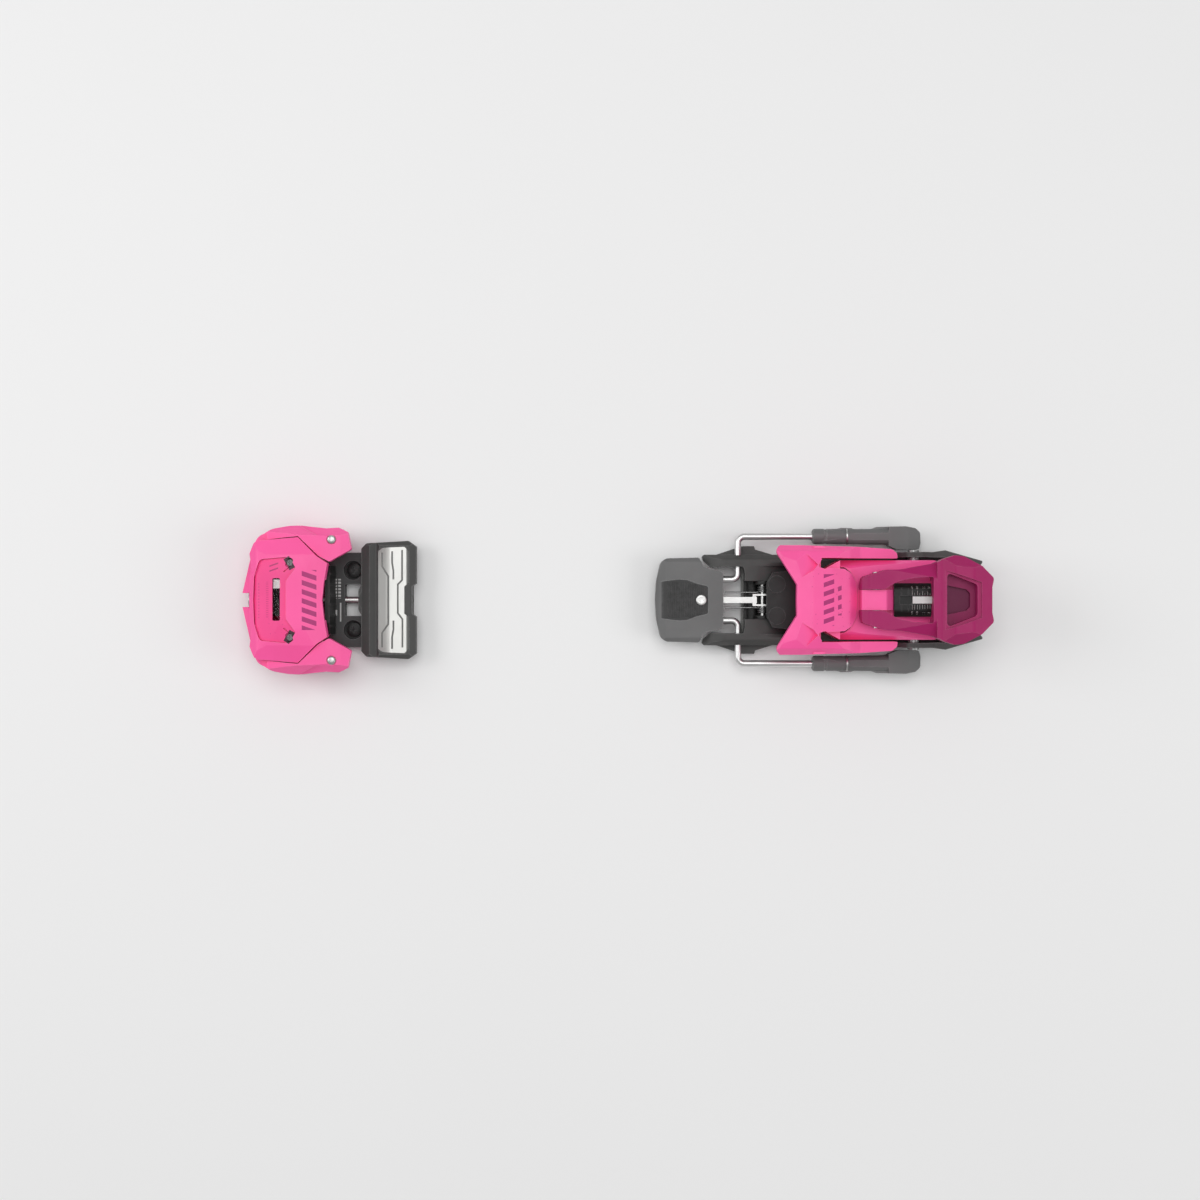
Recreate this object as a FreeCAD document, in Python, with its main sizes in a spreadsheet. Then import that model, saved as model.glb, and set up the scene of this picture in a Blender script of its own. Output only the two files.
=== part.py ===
"""Step-in ski binding: a toe unit and a heel unit with brake, set at their mounting distance.

Frame: +X runs along the ski from tip to tail, +Z is up and z = 0 is the ski's top surface.
The origin lies midway between the two rear screws of the toe unit. Millimetres.
"""
import FreeCAD, Part
import Sketcher
import math
import os

V = FreeCAD.Vector
doc = FreeCAD.newDocument("SkiBinding")

# ---------------------------------------------------------------- driving dimensions
SIZES = {
    # toe unit
    "toe_plate_thick": 8.0, "toe_plate_front": -58.0, "toe_plate_rear": 42.0, "toe_plate_half": 31.0,
    "toe_rear_gap": 42.0, "toe_front_gap": 32.0, "toe_front_reach": -44.0,
    "screw_hole_rad": 2.75, "screw_head_rad": 4.8, "screw_recess_rad": 6.4,
    "wing_pivot_fore": -55.7, "wing_pivot_side": 37.4, "wing_hub_rad": 8.6, "wing_pin_rad": 3.0,
    "wing_low": 14.0, "wing_mid": 35.0, "wing_top": 42.5,
    "roller_fore": -9.9, "roller_side": 41.4, "roller_rad": 5.2, "roller_pin_rad": 2.4,
    "cover_low": 36.0, "cover_top": 47.0, "toe_axis_up": 22.5, "toe_spring_rad": 6.6,
    "toe_wire_rad": 1.3, "toe_screw_rad": 2.8,
    "afd_low": 9.2, "afd_rim": 16.6, "afd_plate_top": 17.4, "afd_spindle_rad": 2.5, "afd_spindle_up": 5.0,
    # heel unit
    "track_front": 274.0, "track_rear": 437.0, "track_half": 24.0, "track_floor": 3.0, "track_top": 6.4,
    "track_neck_half": 17.0, "heel_front_screw": 292.0, "heel_screw_pitch": 120.0, "heel_screw_gap": 24.0,
    "carriage_front": 297.0, "carriage_rear": 438.0, "carriage_half": 34.0, "carriage_deck": 13.0,
    "heel_axle_fore": 392.0, "heel_axle_up": 24.0, "heel_axle_rad": 4.0,
    "lever_axle_fore": 362.0, "lever_axle_up": 50.0, "lever_axle_rad": 2.5,
    "cup_half": 38.0, "body_half": 27.6, "release_axis_up": 35.4, "release_spring_rad": 5.2,
    "release_wire_rad": 1.2,
    # brake
    "brake_axis_fore": 270.9, "brake_axis_up": 13.0, "brake_wire_rad": 2.3, "brake_arm_side": 44.6,
    "brake_crank_side": 14.4, "brake_crank_fore": 248.0, "pedal_top": 20.5,
    "link_axis_fore": 288.0, "link_axis_up": 14.5,
}
sheet = doc.addObject("Spreadsheet::Sheet", "Sizes")
for row, (alias, value) in enumerate(SIZES.items(), start=1):
    sheet.set(f"A{row}", alias)
    sheet.set(f"B{row}", str(value))
    sheet.setAlias(f"B{row}", alias)
doc.recompute()


class Dim:
    """A size worked out from the sheet: its value now, and the expression that keeps it bound."""

    def __init__(self, value, text):
        self.value, self.text = float(value), text

    def __add__(self, other):
        return Dim(self.value + number(other), f"({self.text} + {words(other)})")

    def __sub__(self, other):
        return Dim(self.value - number(other), f"({self.text} - {words(other)})")

    def __mul__(self, other):
        return Dim(self.value * number(other), f"({self.text} * {words(other)})")

    def __neg__(self):
        return Dim(-self.value, f"(-1 * {self.text})")


def number(x):
    return x.value if isinstance(x, Dim) else float(x)


def words(x):
    return x.text if isinstance(x, Dim) else repr(float(x))


def size(alias):
    return Dim(getattr(sheet, alias), f"Sizes.{alias}")


S = {alias: size(alias) for alias in SIZES}
N = {alias: dim.value for alias, dim in S.items()}
nodes = []


def bind(obj, name, value):
    """Sets a property, and binds it to the sheet where its value comes from there."""
    setattr(obj, name, number(value))
    if isinstance(value, Dim):
        obj.setExpression(name, value.text)


def place(obj, x, y, z, rotation=None):
    obj.Placement = FreeCAD.Placement(V(number(x), number(y), number(z)), rotation or FreeCAD.Rotation())
    for axis, value in (("x", x), ("y", y), ("z", z)):
        if isinstance(value, Dim):
            obj.setExpression(f"Placement.Base.{axis}", value.text)


def node(obj, label):
    """Marks an object as a finished sub-part, under the name of its file."""
    obj.Label = label
    nodes.append(obj)
    return obj


# ---------------------------------------------------------------- shape helpers
def box(low, high):
    """A box between two corners."""
    b = doc.addObject("Part::Box", "Box")
    for prop, lo, hi in zip(("Length", "Width", "Height"), low, high):
        bind(b, prop, hi - lo if isinstance(hi, Dim) else (-(lo - hi) if isinstance(lo, Dim) else hi - lo))
    place(b, *low)
    return b


TURN = {
    "x": FreeCAD.Rotation(V(0, 1, 0), 90),
    "y": FreeCAD.Rotation(V(1, 0, 0), -90),
    "z": FreeCAD.Rotation(),
}


def rod(radius, length, start, along="z"):
    """A cylinder from start, growing along +x, +y or +z."""
    c = doc.addObject("Part::Cylinder", "Rod")
    bind(c, "Radius", radius)
    bind(c, "Height", length)
    place(c, *start, rotation=TURN[along])
    return c


def fuse(*shapes):
    f = doc.addObject("Part::MultiFuse", "Fuse")
    f.Shapes = list(shapes)
    f.Refine = True
    return f


def cut(base, *tools):
    """base less every tool."""
    c = doc.addObject("Part::Cut", "Cut")
    c.Base = base
    c.Tool = tools[0] if len(tools) == 1 else fuse(*tools)
    return c


def common(*shapes):
    c = doc.addObject("Part::MultiCommon", "Common")
    c.Shapes = list(shapes)
    return c


PLANES = {"XY": FreeCAD.Rotation(), "XZ": FreeCAD.Rotation(V(1, 0, 0), 90),
          "YZ": FreeCAD.Rotation(V(1, 1, 1), 120)}
OFFSET_AXIS = {"XY": ("z", 1), "XZ": ("y", -1), "YZ": ("x", 1)}


def prism(plane, points, start, end):
    """A Body that pads one closed outline. XY outlines hold (x, y) and grow along z; XZ outlines hold
    (x, z) and run along y; YZ outlines hold (y, z) and run along x. start and end are on that axis."""
    body = doc.addObject("PartDesign::Body", "Body")
    sketch = body.newObject("Sketcher::SketchObject", "Outline")
    role = plane + "_Plane"
    sketch.AttachmentSupport = [(f, "") for f in body.Origin.OriginFeatures if f.Role == role]
    sketch.MapMode = "FlatFace"
    count = len(points)
    corner = [V(number(a), number(b), 0) for a, b in points]
    for i in range(count):
        sketch.addGeometry(Part.LineSegment(corner[i], corner[(i + 1) % count]), False)
    for i in range(count):
        sketch.addConstraint(Sketcher.Constraint("Coincident", i, 2, (i + 1) % count, 1))
    for i, pair in enumerate(points):
        for kind, value in zip(("DistanceX", "DistanceY"), pair):
            if isinstance(value, Dim) and abs(value.value) > 0.01:
                at = sketch.addConstraint(Sketcher.Constraint(kind, -1, 1, i, 1, value.value))
                sketch.setExpression(f"Constraints[{at}]", value.text)
    pad = body.newObject("PartDesign::Pad", "Pad")
    pad.Profile = sketch
    axis, sense = OFFSET_AXIS[plane]
    low, high = (start, end) if sense > 0 else (end, start)
    bind(pad, "Length", (end - start) if isinstance(end, Dim) else -(start - end) if isinstance(start, Dim)
         else end - start)
    base = {"x": 0, "y": 0, "z": 0}
    base[axis] = low
    place(body, base["x"], base["y"], base["z"])
    return body


def mirrored(half):
    """A closed XY outline from the points of its +y side, listed from front to rear."""
    return list(half) + [(x, -y if isinstance(y, Dim) else -y) for x,
                         y in reversed(half) if number(y) > 0.001]


def flipped(points):
    return [(x, -y) for x, y in points]


def both(make):
    """The same solid on the +y and -y sides."""
    return make(1), make(-1)


def solid_feature(label, shape):
    f = doc.addObject("Part::Feature", label)
    f.Shape = shape
    return f


def coil(radius, wire, turns, length):
    """A compression spring's solid along +z from the origin: one helix sweep."""
    helix = Part.makeHelix(length / turns, length, radius)
    section = Part.Wire(Part.makeCircle(wire, V(radius, 0, 0), V(0, 1, 0)))
    return Part.Wire(helix.Edges).makePipeShell([section], True, True)


def bent_wire(points, radius, bend):
    """A round wire along straight runs joined by tangent arcs of radius bend."""
    edges, last = [], points[0]
    for before, at, after in zip(points, points[1:], points[2:]):
        a, b = (before - at).normalize(), (after - at).normalize()
        half = math.acos(max(-1.0, min(1.0, a.dot(b)))) / 2
        reach = bend / math.tan(half)
        start, end = at + a * reach, at + b * reach
        middle = at + (a + b).normalize() * (bend / math.sin(half) - bend)
        edges += [Part.LineSegment(last, start).toShape(), Part.Arc(start, middle, end).toShape()]
        last = end
    edges.append(Part.LineSegment(last, points[-1]).toShape())
    path = Part.Wire(edges)
    section = Part.Wire(Part.makeCircle(radius, points[0], points[1] - points[0]))
    return path.makePipeShell([section], True, False)


# ---------------------------------------------------------------- screws
def cross_recess(x, y, top, reach=1.9, wide=1.1, deep=2.2):
    return fuse(box((x - reach, y - wide / 2, top - deep), (x + reach, y + wide / 2, top + 1)),
                box((x - wide / 2, y - reach, top - deep), (x + wide / 2, y + reach, top + 1)))


def screw_tools(x, y, seat, top):
    """What a mounting screw takes out of a plate: its clearance hole and its head's recess."""
    return [rod(S["screw_hole_rad"], 30.0, (x, y, -1.0)), rod(S["screw_recess_rad"], top - seat,
                                                              (x, y, seat))]


# ---------------------------------------------------------------- toe unit, fixed pieces
TOE_SCREW_SEAT = 3.6
REAR_Y, FRONT_Y = N["toe_rear_gap"] / 2, N["toe_front_gap"] / 2
TOE_SCREWS = [(0.0, REAR_Y), (0.0, -REAR_Y), (N["toe_front_reach"], FRONT_Y),
              (N["toe_front_reach"], -FRONT_Y)]
PIVOT = (N["wing_pivot_fore"], N["wing_pivot_side"])
SPINDLE_X = (-7.6, 16.0)


def toe_base_plate():
    half = S["toe_plate_half"]
    outline = mirrored([(S["toe_plate_front"], 24.0), (-50.0, 29.0), (-14.0, 29.0), (-6.0, half + 2.4),
                        (6.0, half + 2.4), (6.4, half), (S["toe_plate_rear"] - 4.0, half),
                        (S["toe_plate_rear"], half - 4.0)])
    plate = prism("XY", outline, 0.0, S["toe_plate_thick"])
    window = box((-5.7, -11.3, -1.0), (9.0, 11.3, 12.0))
    well = box((9.0, -7.0, 1.2), (34.0, 7.0, 12.0))
    seats = [t for x, y in TOE_SCREWS for t in screw_tools(x, y, TOE_SCREW_SEAT, 10.0)]
    spindle_hole = rod(S["afd_spindle_rad"] + 0.05, 3.0, (-8.6, 0.0, S["afd_spindle_up"]), "x")
    end_hole = rod(S["afd_spindle_rad"] + 0.05, 9.0, (33.5, 0.0, S["afd_spindle_up"]), "x")
    head_hole = rod(2.95, 5.0, (38.7, 0.0, S["afd_spindle_up"]), "x")
    ramps = [prism("XZ", [(x, 7.9), (x + 6.0, 7.9), (x + 6.0, 11.0), (x, 8.0)], y, y + 5.0)
             for x in (12.0, 27.0) for y in (-27.5, 22.5)]
    return node(fuse(cut(plate, window, well, spindle_hole, end_hole, head_hole, *seats), *ramps),
                "toe_base_plate")


def toe_housing():
    floor = prism("XY", mirrored([(-75.9, 4.9), (-67.8, 33.0), (-60.0, 43.5), (-46.0, 43.5), (-30.0, 37.0),
                                  (-13.0, 25.0)]), S["toe_plate_thick"], 13.5)
    nose = prism("XY", mirrored([(-75.9, 4.9), (-67.8, 33.0), (-66.4, 33.0), (-62.8, 29.0)]), 13.0, 27.6)
    bridge = box((-65.4, -12.0, 13.0), (-62.0, 12.0, 33.0))
    walls = both(lambda s: box((-42.5, min(9.6 * s, 15.0 * s), 13.0), (-13.0, max(9.6 * s, 15.0 * s), 33.6)))
    rear = prism("YZ", [(-24.0, 8.0), (24.0, 8.0), (24.0, 33.0), (17.0, 35.6), (-17.0, 35.6), (-24.0, 33.0)],
                 -15.5, -12.2)
    bosses = both(lambda s: rod(3.6, 22.6, (-38.3, 26.0 * s, 13.0)))
    hub_clear = both(lambda s: rod(S["wing_hub_rad"] + 0.5, 20.0, (PIVOT[0], s * PIVOT[1], 13.7)))
    pin_holes = both(lambda s: rod(S["wing_pin_rad"], 4.2, (PIVOT[0], s * PIVOT[1], 9.5)))
    notch = box((-80.0, -4.9, 7.0), (-70.2, 4.9, 28.0))
    shank = rod(S["toe_screw_rad"] + 0.1, 12.0, (-72.0, 0.0, S["toe_axis_up"]), "x")
    head = rod(5.6, 5.0, (-70.4, 0.0, S["toe_axis_up"]), "x")
    thread_holes = both(lambda s: rod(1.5, 9.0, (-38.3, 26.0 * s, 26.8)))
    front_screws = both(lambda s: rod(S["screw_recess_rad"], 8.0, (N["toe_front_reach"], FRONT_Y * s, 7.0)))
    hull = fuse(floor, nose, bridge, rear, *walls, *bosses)
    return node(cut(hull, notch, shank, head, *hub_clear, *pin_holes, *thread_holes, *front_screws),
                "toe_housing")


COVER_SEAM = [(-66.6, 32.0), (-63.4, 38.6), (-61.3, 40.6), (-33.2, 43.1), (-19.5, 29.8), (-12.7, 25.3)]


def toe_cover():
    plan = prism("XY", mirrored([(-66.9, 0.0), (-66.4, 12.0), (-65.4, 24.0), *COVER_SEAM, (-14.9, 12.0),
                                 (-16.1, 0.0)]), 20.0, 60.0)
    side = prism("XZ", [(-71.0, 28.2), (-71.0, 33.0), (-67.5, 39.0), (-61.0, 44.6), (-46.0, S["cover_top"]),
                        (-24.0, 46.4), (-11.0, 43.2), (-11.0, S["cover_low"]), (-66.2, S["cover_low"]),
                        (-67.0, 28.2)], -50.0, 50.0)
    front = prism("YZ", [(-44.0, 28.0), (-44.0, 40.4), (-32.0, 45.2), (-20.0, S["cover_top"]),
                         (20.0, S["cover_top"]), (32.0, 45.2), (44.0, 40.4), (44.0, 28.0)], -80.0, 0.0)
    skirt_trim = both(lambda s: box((-72.0, min(30.5 * s, 60.0 * s), 20.0),
                                    (-40.0, max(30.5 * s, 60.0 * s), 36.0)))
    recess = prism("XY", mirrored([(-63.6, 0.0), (-62.7, 16.0), (-58.6, 28.4), (-40.1, 30.2), (-34.2, 22.5),
                                   (-40.1, 14.3), (-40.8, 12.3)]), 45.0, 60.0)
    slot = box((-50.1, -14.2, 30.0), (-44.7, 15.0, 60.0))
    hollow = prism("XZ", [(-63.5, 30.0), (-63.5, 40.5), (-46.0, 42.4), (-20.0, 42.4), (-14.6, 39.8),
                          (-14.6, 30.0)], -22.0, 22.0)
    pockets = both(lambda s: rod(3.4, 20.0, (-38.3, 26.0 * s, 40.6)))
    screw_holes = both(lambda s: rod(1.9, 20.0, (-38.3, 26.0 * s, 30.0)))
    return node(cut(common(plan, side, front), skirt_trim[0], skirt_trim[1], recess, slot, hollow,
                    *pockets, *screw_holes), "toe_cover")


def toe_cover_screws():
    def one(s):
        head = rod(3.2, 2.4, (-38.3, 26.0 * s, 40.7))
        shank = rod(1.45, 12.0, (-38.3, 26.0 * s, 28.8))
        return cut(fuse(head, shank), cross_recess(-38.3, 26.0 * s, 43.1, 1.5, 0.8, 1.4))
    return node(fuse(*both(one)), "toe_cover_screws")


def wing_pivot_pins():
    pins = both(lambda s: rod(S["wing_pin_rad"] - 0.02, 24.6, (PIVOT[0], s * PIVOT[1], 9.7)))
    return node(fuse(*pins), "wing_pivot_pins")


def toe_window_lens():
    return node(box((-49.9, -14.0, 42.6), (-44.9, 14.8, 43.5)), "toe_window_lens")


# ---------------------------------------------------------------- toe unit, release mechanism
def toe_adjust_screw():
    up = N["toe_axis_up"]
    head = rod(5.2, 4.2, (-70.0, 0.0, up), "x")
    shank = rod(S["toe_screw_rad"], 50.0, (-66.0, 0.0, up), "x")
    drive = fuse(box((-70.5, -2.6, up - 0.6), (-68.0, 2.6, up + 0.6)),
                 box((-70.5, -0.6, up - 2.6), (-68.0, 0.6, up + 2.6)))
    return node(cut(fuse(head, shank), drive), "toe_adjust_screw")


def toe_spring_nut():
    block = box((-25.6, -9.2, 14.6), (-19.6, 9.2, 32.6))
    peg = rod(2.0, 2.2, (-22.6, 0.0, 32.4))
    bore = rod(S["toe_screw_rad"] + 0.05, 10.0, (-27.0, 0.0, S["toe_axis_up"]), "x")
    return node(cut(fuse(block, peg), bore), "toe_spring_nut")


CAM_RATIO = 2.0
INDICATOR_PEG = (-47.4, 11.0)


def toe_cam_plate():
    """A plate on the nut whose slanted slot drives the indicator across the window."""
    plate = box((-51.4, -11.0, 34.7), (-20.4, 16.6, 36.2))
    peg_hole = rod(2.05, 4.0, (-22.6, 0.0, 34.0))
    steep = math.hypot(1.0, CAM_RATIO)
    run_x, run_y = 1.0 / steep, -CAM_RATIO / steep
    half, first, last = 1.3, -2.2, 20.1
    corners = [(along, across) for along, across in ((first, half), (last, half), (last, -half),
                                                     (first, -half))]
    slot = prism("XY", [(INDICATOR_PEG[0] + a * run_x - c * run_y, INDICATOR_PEG[1] + a * run_y + c * run_x)
                        for a, c in corners], 34.0, 37.0)
    return node(cut(plate, peg_hole, slot), "toe_cam_plate")


def toe_spring():
    spring = coil(N["toe_spring_rad"], N["toe_wire_rad"], 6, 21.0)
    f = solid_feature("toe_spring", spring)
    place(f, -48.6, 0.0, S["toe_axis_up"], TURN["x"])
    return node(f, "toe_spring")


def toe_thrust_plate():
    plate = rod(8.4, 2.4, (-53.0, 0.0, S["toe_axis_up"]), "x")
    bore = rod(S["toe_screw_rad"] + 0.1, 4.0, (-54.0, 0.0, S["toe_axis_up"]), "x")
    return node(cut(plate, bore), "toe_thrust_plate")


def toe_indicator():
    flag = box((-49.7, 8.0, 36.8), (-45.1, 14.1, 42.2))
    peg = rod(0.9, 2.8, (*INDICATOR_PEG, 34.2))
    return node(fuse(flag, peg), "toe_indicator")


# ---------------------------------------------------------------- toe unit, wings
def wing(side, name):
    """One wing with its hub, its lug towards the spring and its jaw over the boot's toe."""
    def turned(points):
        return points if side > 0 else flipped(points)

    def ylow(a, b):
        return (a, b) if side > 0 else (-b, -a)

    px, py = PIVOT[0], side * PIVOT[1]
    lower = prism("XY", turned([(-55.7, 45.9), (-50.9, 49.0), (-40.5, 51.0), (-33.6, 51.9), (-25.3, 50.6),
                                (-12.8, 49.2), (-5.9, 49.6), (-3.2, 47.2), (-2.0, 43.5), (-2.0, 38.6),
                                (-14.0, 35.6), (-30.0, 32.8), (-46.5, 35.5)]), S["wing_low"], S["wing_mid"])
    upper = prism("XY", turned([(-54.4, 41.9), (-52.0, 48.2), (-40.5, 50.6), (-33.6, 51.4), (-25.3, 50.2),
                                (-12.8, 48.8), (-5.9, 49.4), (1.0, 46.6), (3.2, 34.6), (-11.6, 26.4),
                                (-19.2, 30.4), (-32.9, 43.7), (-46.0,
                                                               42.5)]), N["wing_mid"] - 0.1, S["wing_top"])
    slope = prism("XZ", [(-60.0, 36.6), (-33.0, 41.2), (-12.0, S["wing_top"]), (4.0, 40.6), (4.0, 50.0),
                         (-60.0, 50.0)], -60.0, 60.0)
    hub = rod(S["wing_hub_rad"], N["wing_mid"] - N["wing_low"] - 1.2, (px, py, S["wing_low"]))
    lo, hi = ylow(9.6, 37.0)
    arm = box((-59.0, lo, 16.0), (-54.4, hi, 29.0))
    lo, hi = ylow(31.0, 37.0)
    root = box((-59.0, lo, 16.0), (-47.0, hi, 33.0))
    bore = rod(S["wing_pin_rad"] + 0.05, 30.0, (px, py, 10.0))
    rx, ry = N["roller_fore"], side * N["roller_side"]
    pocket = rod(S["roller_rad"] + 0.4, 19.0, (rx, ry, 17.0))
    lo, hi = ylow(30.0, N["roller_side"])
    mouth = box((rx - 4.2, lo, 17.0), (rx + 4.2, hi, 36.0))
    pin_hole = rod(S["roller_pin_rad"], 40.0, (rx, ry, 10.0))
    side_wall = prism("YZ", [(side * y, z) for y, z in ((47.6, 10.0), (51.6, 31.0), (46.8, 50.0),
                                                        (70.0, 50.0), (70.0, 10.0))],
                      -70.0, 10.0)
    whole = cut(fuse(lower, upper, hub, arm, root), slope, side_wall, bore, pocket, mouth, pin_hole)
    return node(whole, f"toe_wing_{name}")


def roller(side, name):
    rx, ry = S["roller_fore"], S["roller_side"] * side
    barrel = rod(S["roller_rad"], 18.2, (rx, ry, 17.4))
    node(cut(barrel, rod(S["roller_pin_rad"] + 0.05, 30.0, (rx, ry, 12.0))), f"sole_roller_{name}")
    shaft = rod(S["roller_pin_rad"] - 0.02, 28.8, (rx, ry, 14.4))
    cap = rod(3.1, 0.8, (rx, ry, 42.9))
    node(fuse(shaft, cap), f"roller_pin_{name}")


# ---------------------------------------------------------------- toe unit, height-adjustable sole slide
def afd_carriage():
    low, rim = S["afd_low"], S["afd_rim"]
    frame = prism("XY", mirrored([(6.6, 36.6), (10.6, 39.8), (40.0, 41.6), (45.3, 38.0), (45.3, 11.4),
                                  (42.4, 9.6)]), low, rim)
    tongue = fuse(rod(9.2, 5.4, (13.6, 0.0, low)), box((10.0, -11.2, low), (17.0, 11.2, 15.6)))
    bevel = prism("XZ", [(5.0, 14.6), (12.6, 16.7), (12.6, 20.0), (5.0, 20.0)], -50.0, 50.0)
    groove = prism("XZ", [(12.6, 16.7), (16.4, 14.4), (19.0, 15.2), (19.0, 17.0), (12.6, 17.0)], -37.6, 37.6)
    seat = prism("XY", mirrored([(18.4, 35.2), (22.0, 37.0), (37.4, 37.6), (40.4, 34.8), (40.4, 11.5),
                                 (37.4, 9.3)]), 15.4, 20.0)
    nut_slot = box((15.6, -6.3, 0.0), (24.6, 6.3, 14.0))
    spindle_slot = box((-2.0, -3.0, 0.0), (50.0, 3.0, 10.4))
    ramp_slots = [box((x - 3.6, y - 0.4, 0.0), (x + 9.6, y + 5.4, 12.4)) for x in (12.0, 27.0)
                  for y in (-27.5, 22.5)]
    screw_head = both(lambda s: box((40.0, min(7.4 * s, 0), 0.0), (50.0, max(7.4 * s, 0), 10.4)))
    whole = cut(fuse(frame, tongue), bevel, groove, seat, nut_slot, spindle_slot, *screw_head, *ramp_slots)
    return node(whole, "afd_carriage")


def afd_slide_plate():
    low = prism("XY", mirrored([(18.6, 34.9), (22.1, 36.7), (37.3, 37.3), (40.2, 34.6), (40.2, 11.8),
                                (37.2, 9.5)]), 15.45, S["afd_plate_top"])
    ramp = prism("XZ", [(17.0, 15.9), (24.4, S["afd_plate_top"]), (37.6, S["afd_plate_top"]), (41.0, 16.3),
                        (41.0, 20.0), (17.0, 20.0)], -50.0, 50.0)
    return node(cut(low, ramp), "afd_slide_plate")


def afd_spindle():
    up = N["afd_spindle_up"]
    shaft = rod(S["afd_spindle_rad"], 47.6, (-8.4, 0.0, up), "x")
    collar = rod(3.6, 2.0, (29.5, 0.0, up), "x")
    head = rod(2.7, 2.6, (38.9, 0.0, up), "x")
    drive = fuse(box((40.3, -1.7, up - 0.4), (42.0, 1.7, up + 0.4)),
                 box((40.3, -0.4, up - 1.7), (42.0, 0.4, up + 1.7)))
    return node(cut(fuse(shaft, collar, head), drive), "afd_spindle")


def afd_nut():
    block = box((17.4, -5.8, 1.6), (22.8, 5.8, 12.2))
    return node(cut(block, rod(S["afd_spindle_rad"] + 0.05, 10.0, (15.0, 0.0, S["afd_spindle_up"]), "x")),
                "afd_nut")


# ---------------------------------------------------------------- heel unit, track and carriage
HEEL_SCREWS = [(N["heel_front_screw"] + dx, s * N["heel_screw_gap"] / 2)
               for dx in (0.0, N["heel_screw_pitch"]) for s in (1, -1)]


def heel_track():
    neck, half = S["track_neck_half"], S["track_half"]
    floor, top = S["track_floor"], S["track_top"]
    rail = prism("YZ", [(-neck, 0.0), (neck, 0.0), (neck, floor), (half, floor), (half, top),
                        (neck - 2.6, top),
                        (neck - 2.6, 3.8), (-(neck - 2.6), 3.8), (-(neck - 2.6), top), (-half, top),
                        (-half, floor), (-neck, floor)], S["track_front"], S["track_rear"])
    holes = [rod(S["screw_hole_rad"], 10.0, (x, y, -1.0)) for x, y in HEEL_SCREWS]
    sinks = [rod(S["screw_head_rad"] + 0.3, 10.0, (x, y, 2.6)) for x, y in HEEL_SCREWS]
    teeth = [box((x, -4.6, -1.0), (x + 1.6, 4.6, 10.0)) for x in
             [330.0 + 3.2 * i for i in range(22)]]
    return node(cut(rail, *holes, *sinks, *teeth), "heel_track")


def heel_carriage():
    """The sledge that grips the track's flanges and carries the housing's axle between its ears."""
    outer, inner, neck = N["carriage_half"], N["track_half"] + 0.35, N["track_neck_half"] + 0.4
    deck = S["carriage_deck"]
    front, rear = S["carriage_front"], S["carriage_rear"]
    section = prism("YZ", [(-29.0, 0.6), (-neck, 0.6), (-neck, 2.6), (-inner, 2.6), (-inner, 6.8),
                           (inner, 6.8),
                           (inner, 2.6), (neck, 2.6), (neck, 0.6), (29.0, 0.6), (31.0, 4.0), (31.0, deck),
                           (-31.0, deck), (-31.0, 4.0)], front, rear)
    plan = prism("XY", mirrored([(297.0, 31.0), (414.2, 31.0), (438.0, 23.5)]), 0.0, 60.0)
    base = common(section, plan)

    def ear(s):
        low, high = sorted((23.0 * s, 35.0 * s))
        wall = prism("XZ", [(378.4, 6.9), (380.5, 30.0), (386.0, 36.0), (398.0, 36.0), (406.0, 27.5), (421.0, 23.0),
                            (441.6, 20.0), (439.0, 14.0), (430.0, 6.9)], low, high)
        plan_points = ((378.0, 28.4), (378.0, 33.0), (404.4, 33.2), (414.2, 34.6), (442.1, 27.0), (439.3, 24.0),
                       (414.0, 29.6), (400.0, 29.6))
        return common(wall, prism("XY", [(x, y * s) for x, y in plan_points], 0.0, 60.0))

    ears = both(ear)
    axle_hole = rod(S["heel_axle_rad"], 90.0, (S["heel_axle_fore"], -45.0, S["heel_axle_up"]), "y")
    worm_bay = box((339.0, -6.0, 5.0), (425.0, 6.0, 20.0))
    worm_hole = rod(3.05, 30.0, (420.0, 0.0, 10.6), "x")
    spring_bays = both(lambda s: box((307.2, min(11.6 * s, 16.8 * s), 7.9),
                                     (334.9, max(11.6 * s, 16.8 * s), 20.0)))
    worm_head_room = rod(4.9, 10.0, (434.0, 0.0, 10.6), "x")
    return node(cut(fuse(base, *ears), axle_hole, worm_bay, worm_hole, worm_head_room, *spring_bays),
                "heel_carriage")


def heel_axle():
    return node(rod(S["heel_axle_rad"] - 0.02, 69.0, (S["heel_axle_fore"], -34.5, S["heel_axle_up"]), "y"),
                "heel_axle")


def length_worm():
    core = rod(3.0, 93.7, (341.0, 0.0, 10.6), "x")
    threads = [rod(3.55, 1.5, (344.0 + 3.2 * i, 0.0, 10.6), "x") for i in range(14)]
    head = rod(4.6, 3.4, (434.4, 0.0, 10.6), "x")
    drive = fuse(box((436.4, -2.4, 10.1), (439.0, 2.4, 11.1)), box((436.4, -0.5, 8.2), (439.0, 0.5, 13.0)))
    return node(cut(fuse(core, head, *threads), drive), "length_worm")


def forward_pressure_springs():
    def one(s):
        f = solid_feature("pressure", coil(1.75, 0.45, 12, 26.0))
        place(f, 308.0, 14.2 * s, 10.4, TURN["x"])
        return f
    pair = both(one)
    whole = doc.addObject("Part::Compound", "Pair")
    whole.Links = list(pair)
    return node(whole, "forward_pressure_springs")


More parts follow.
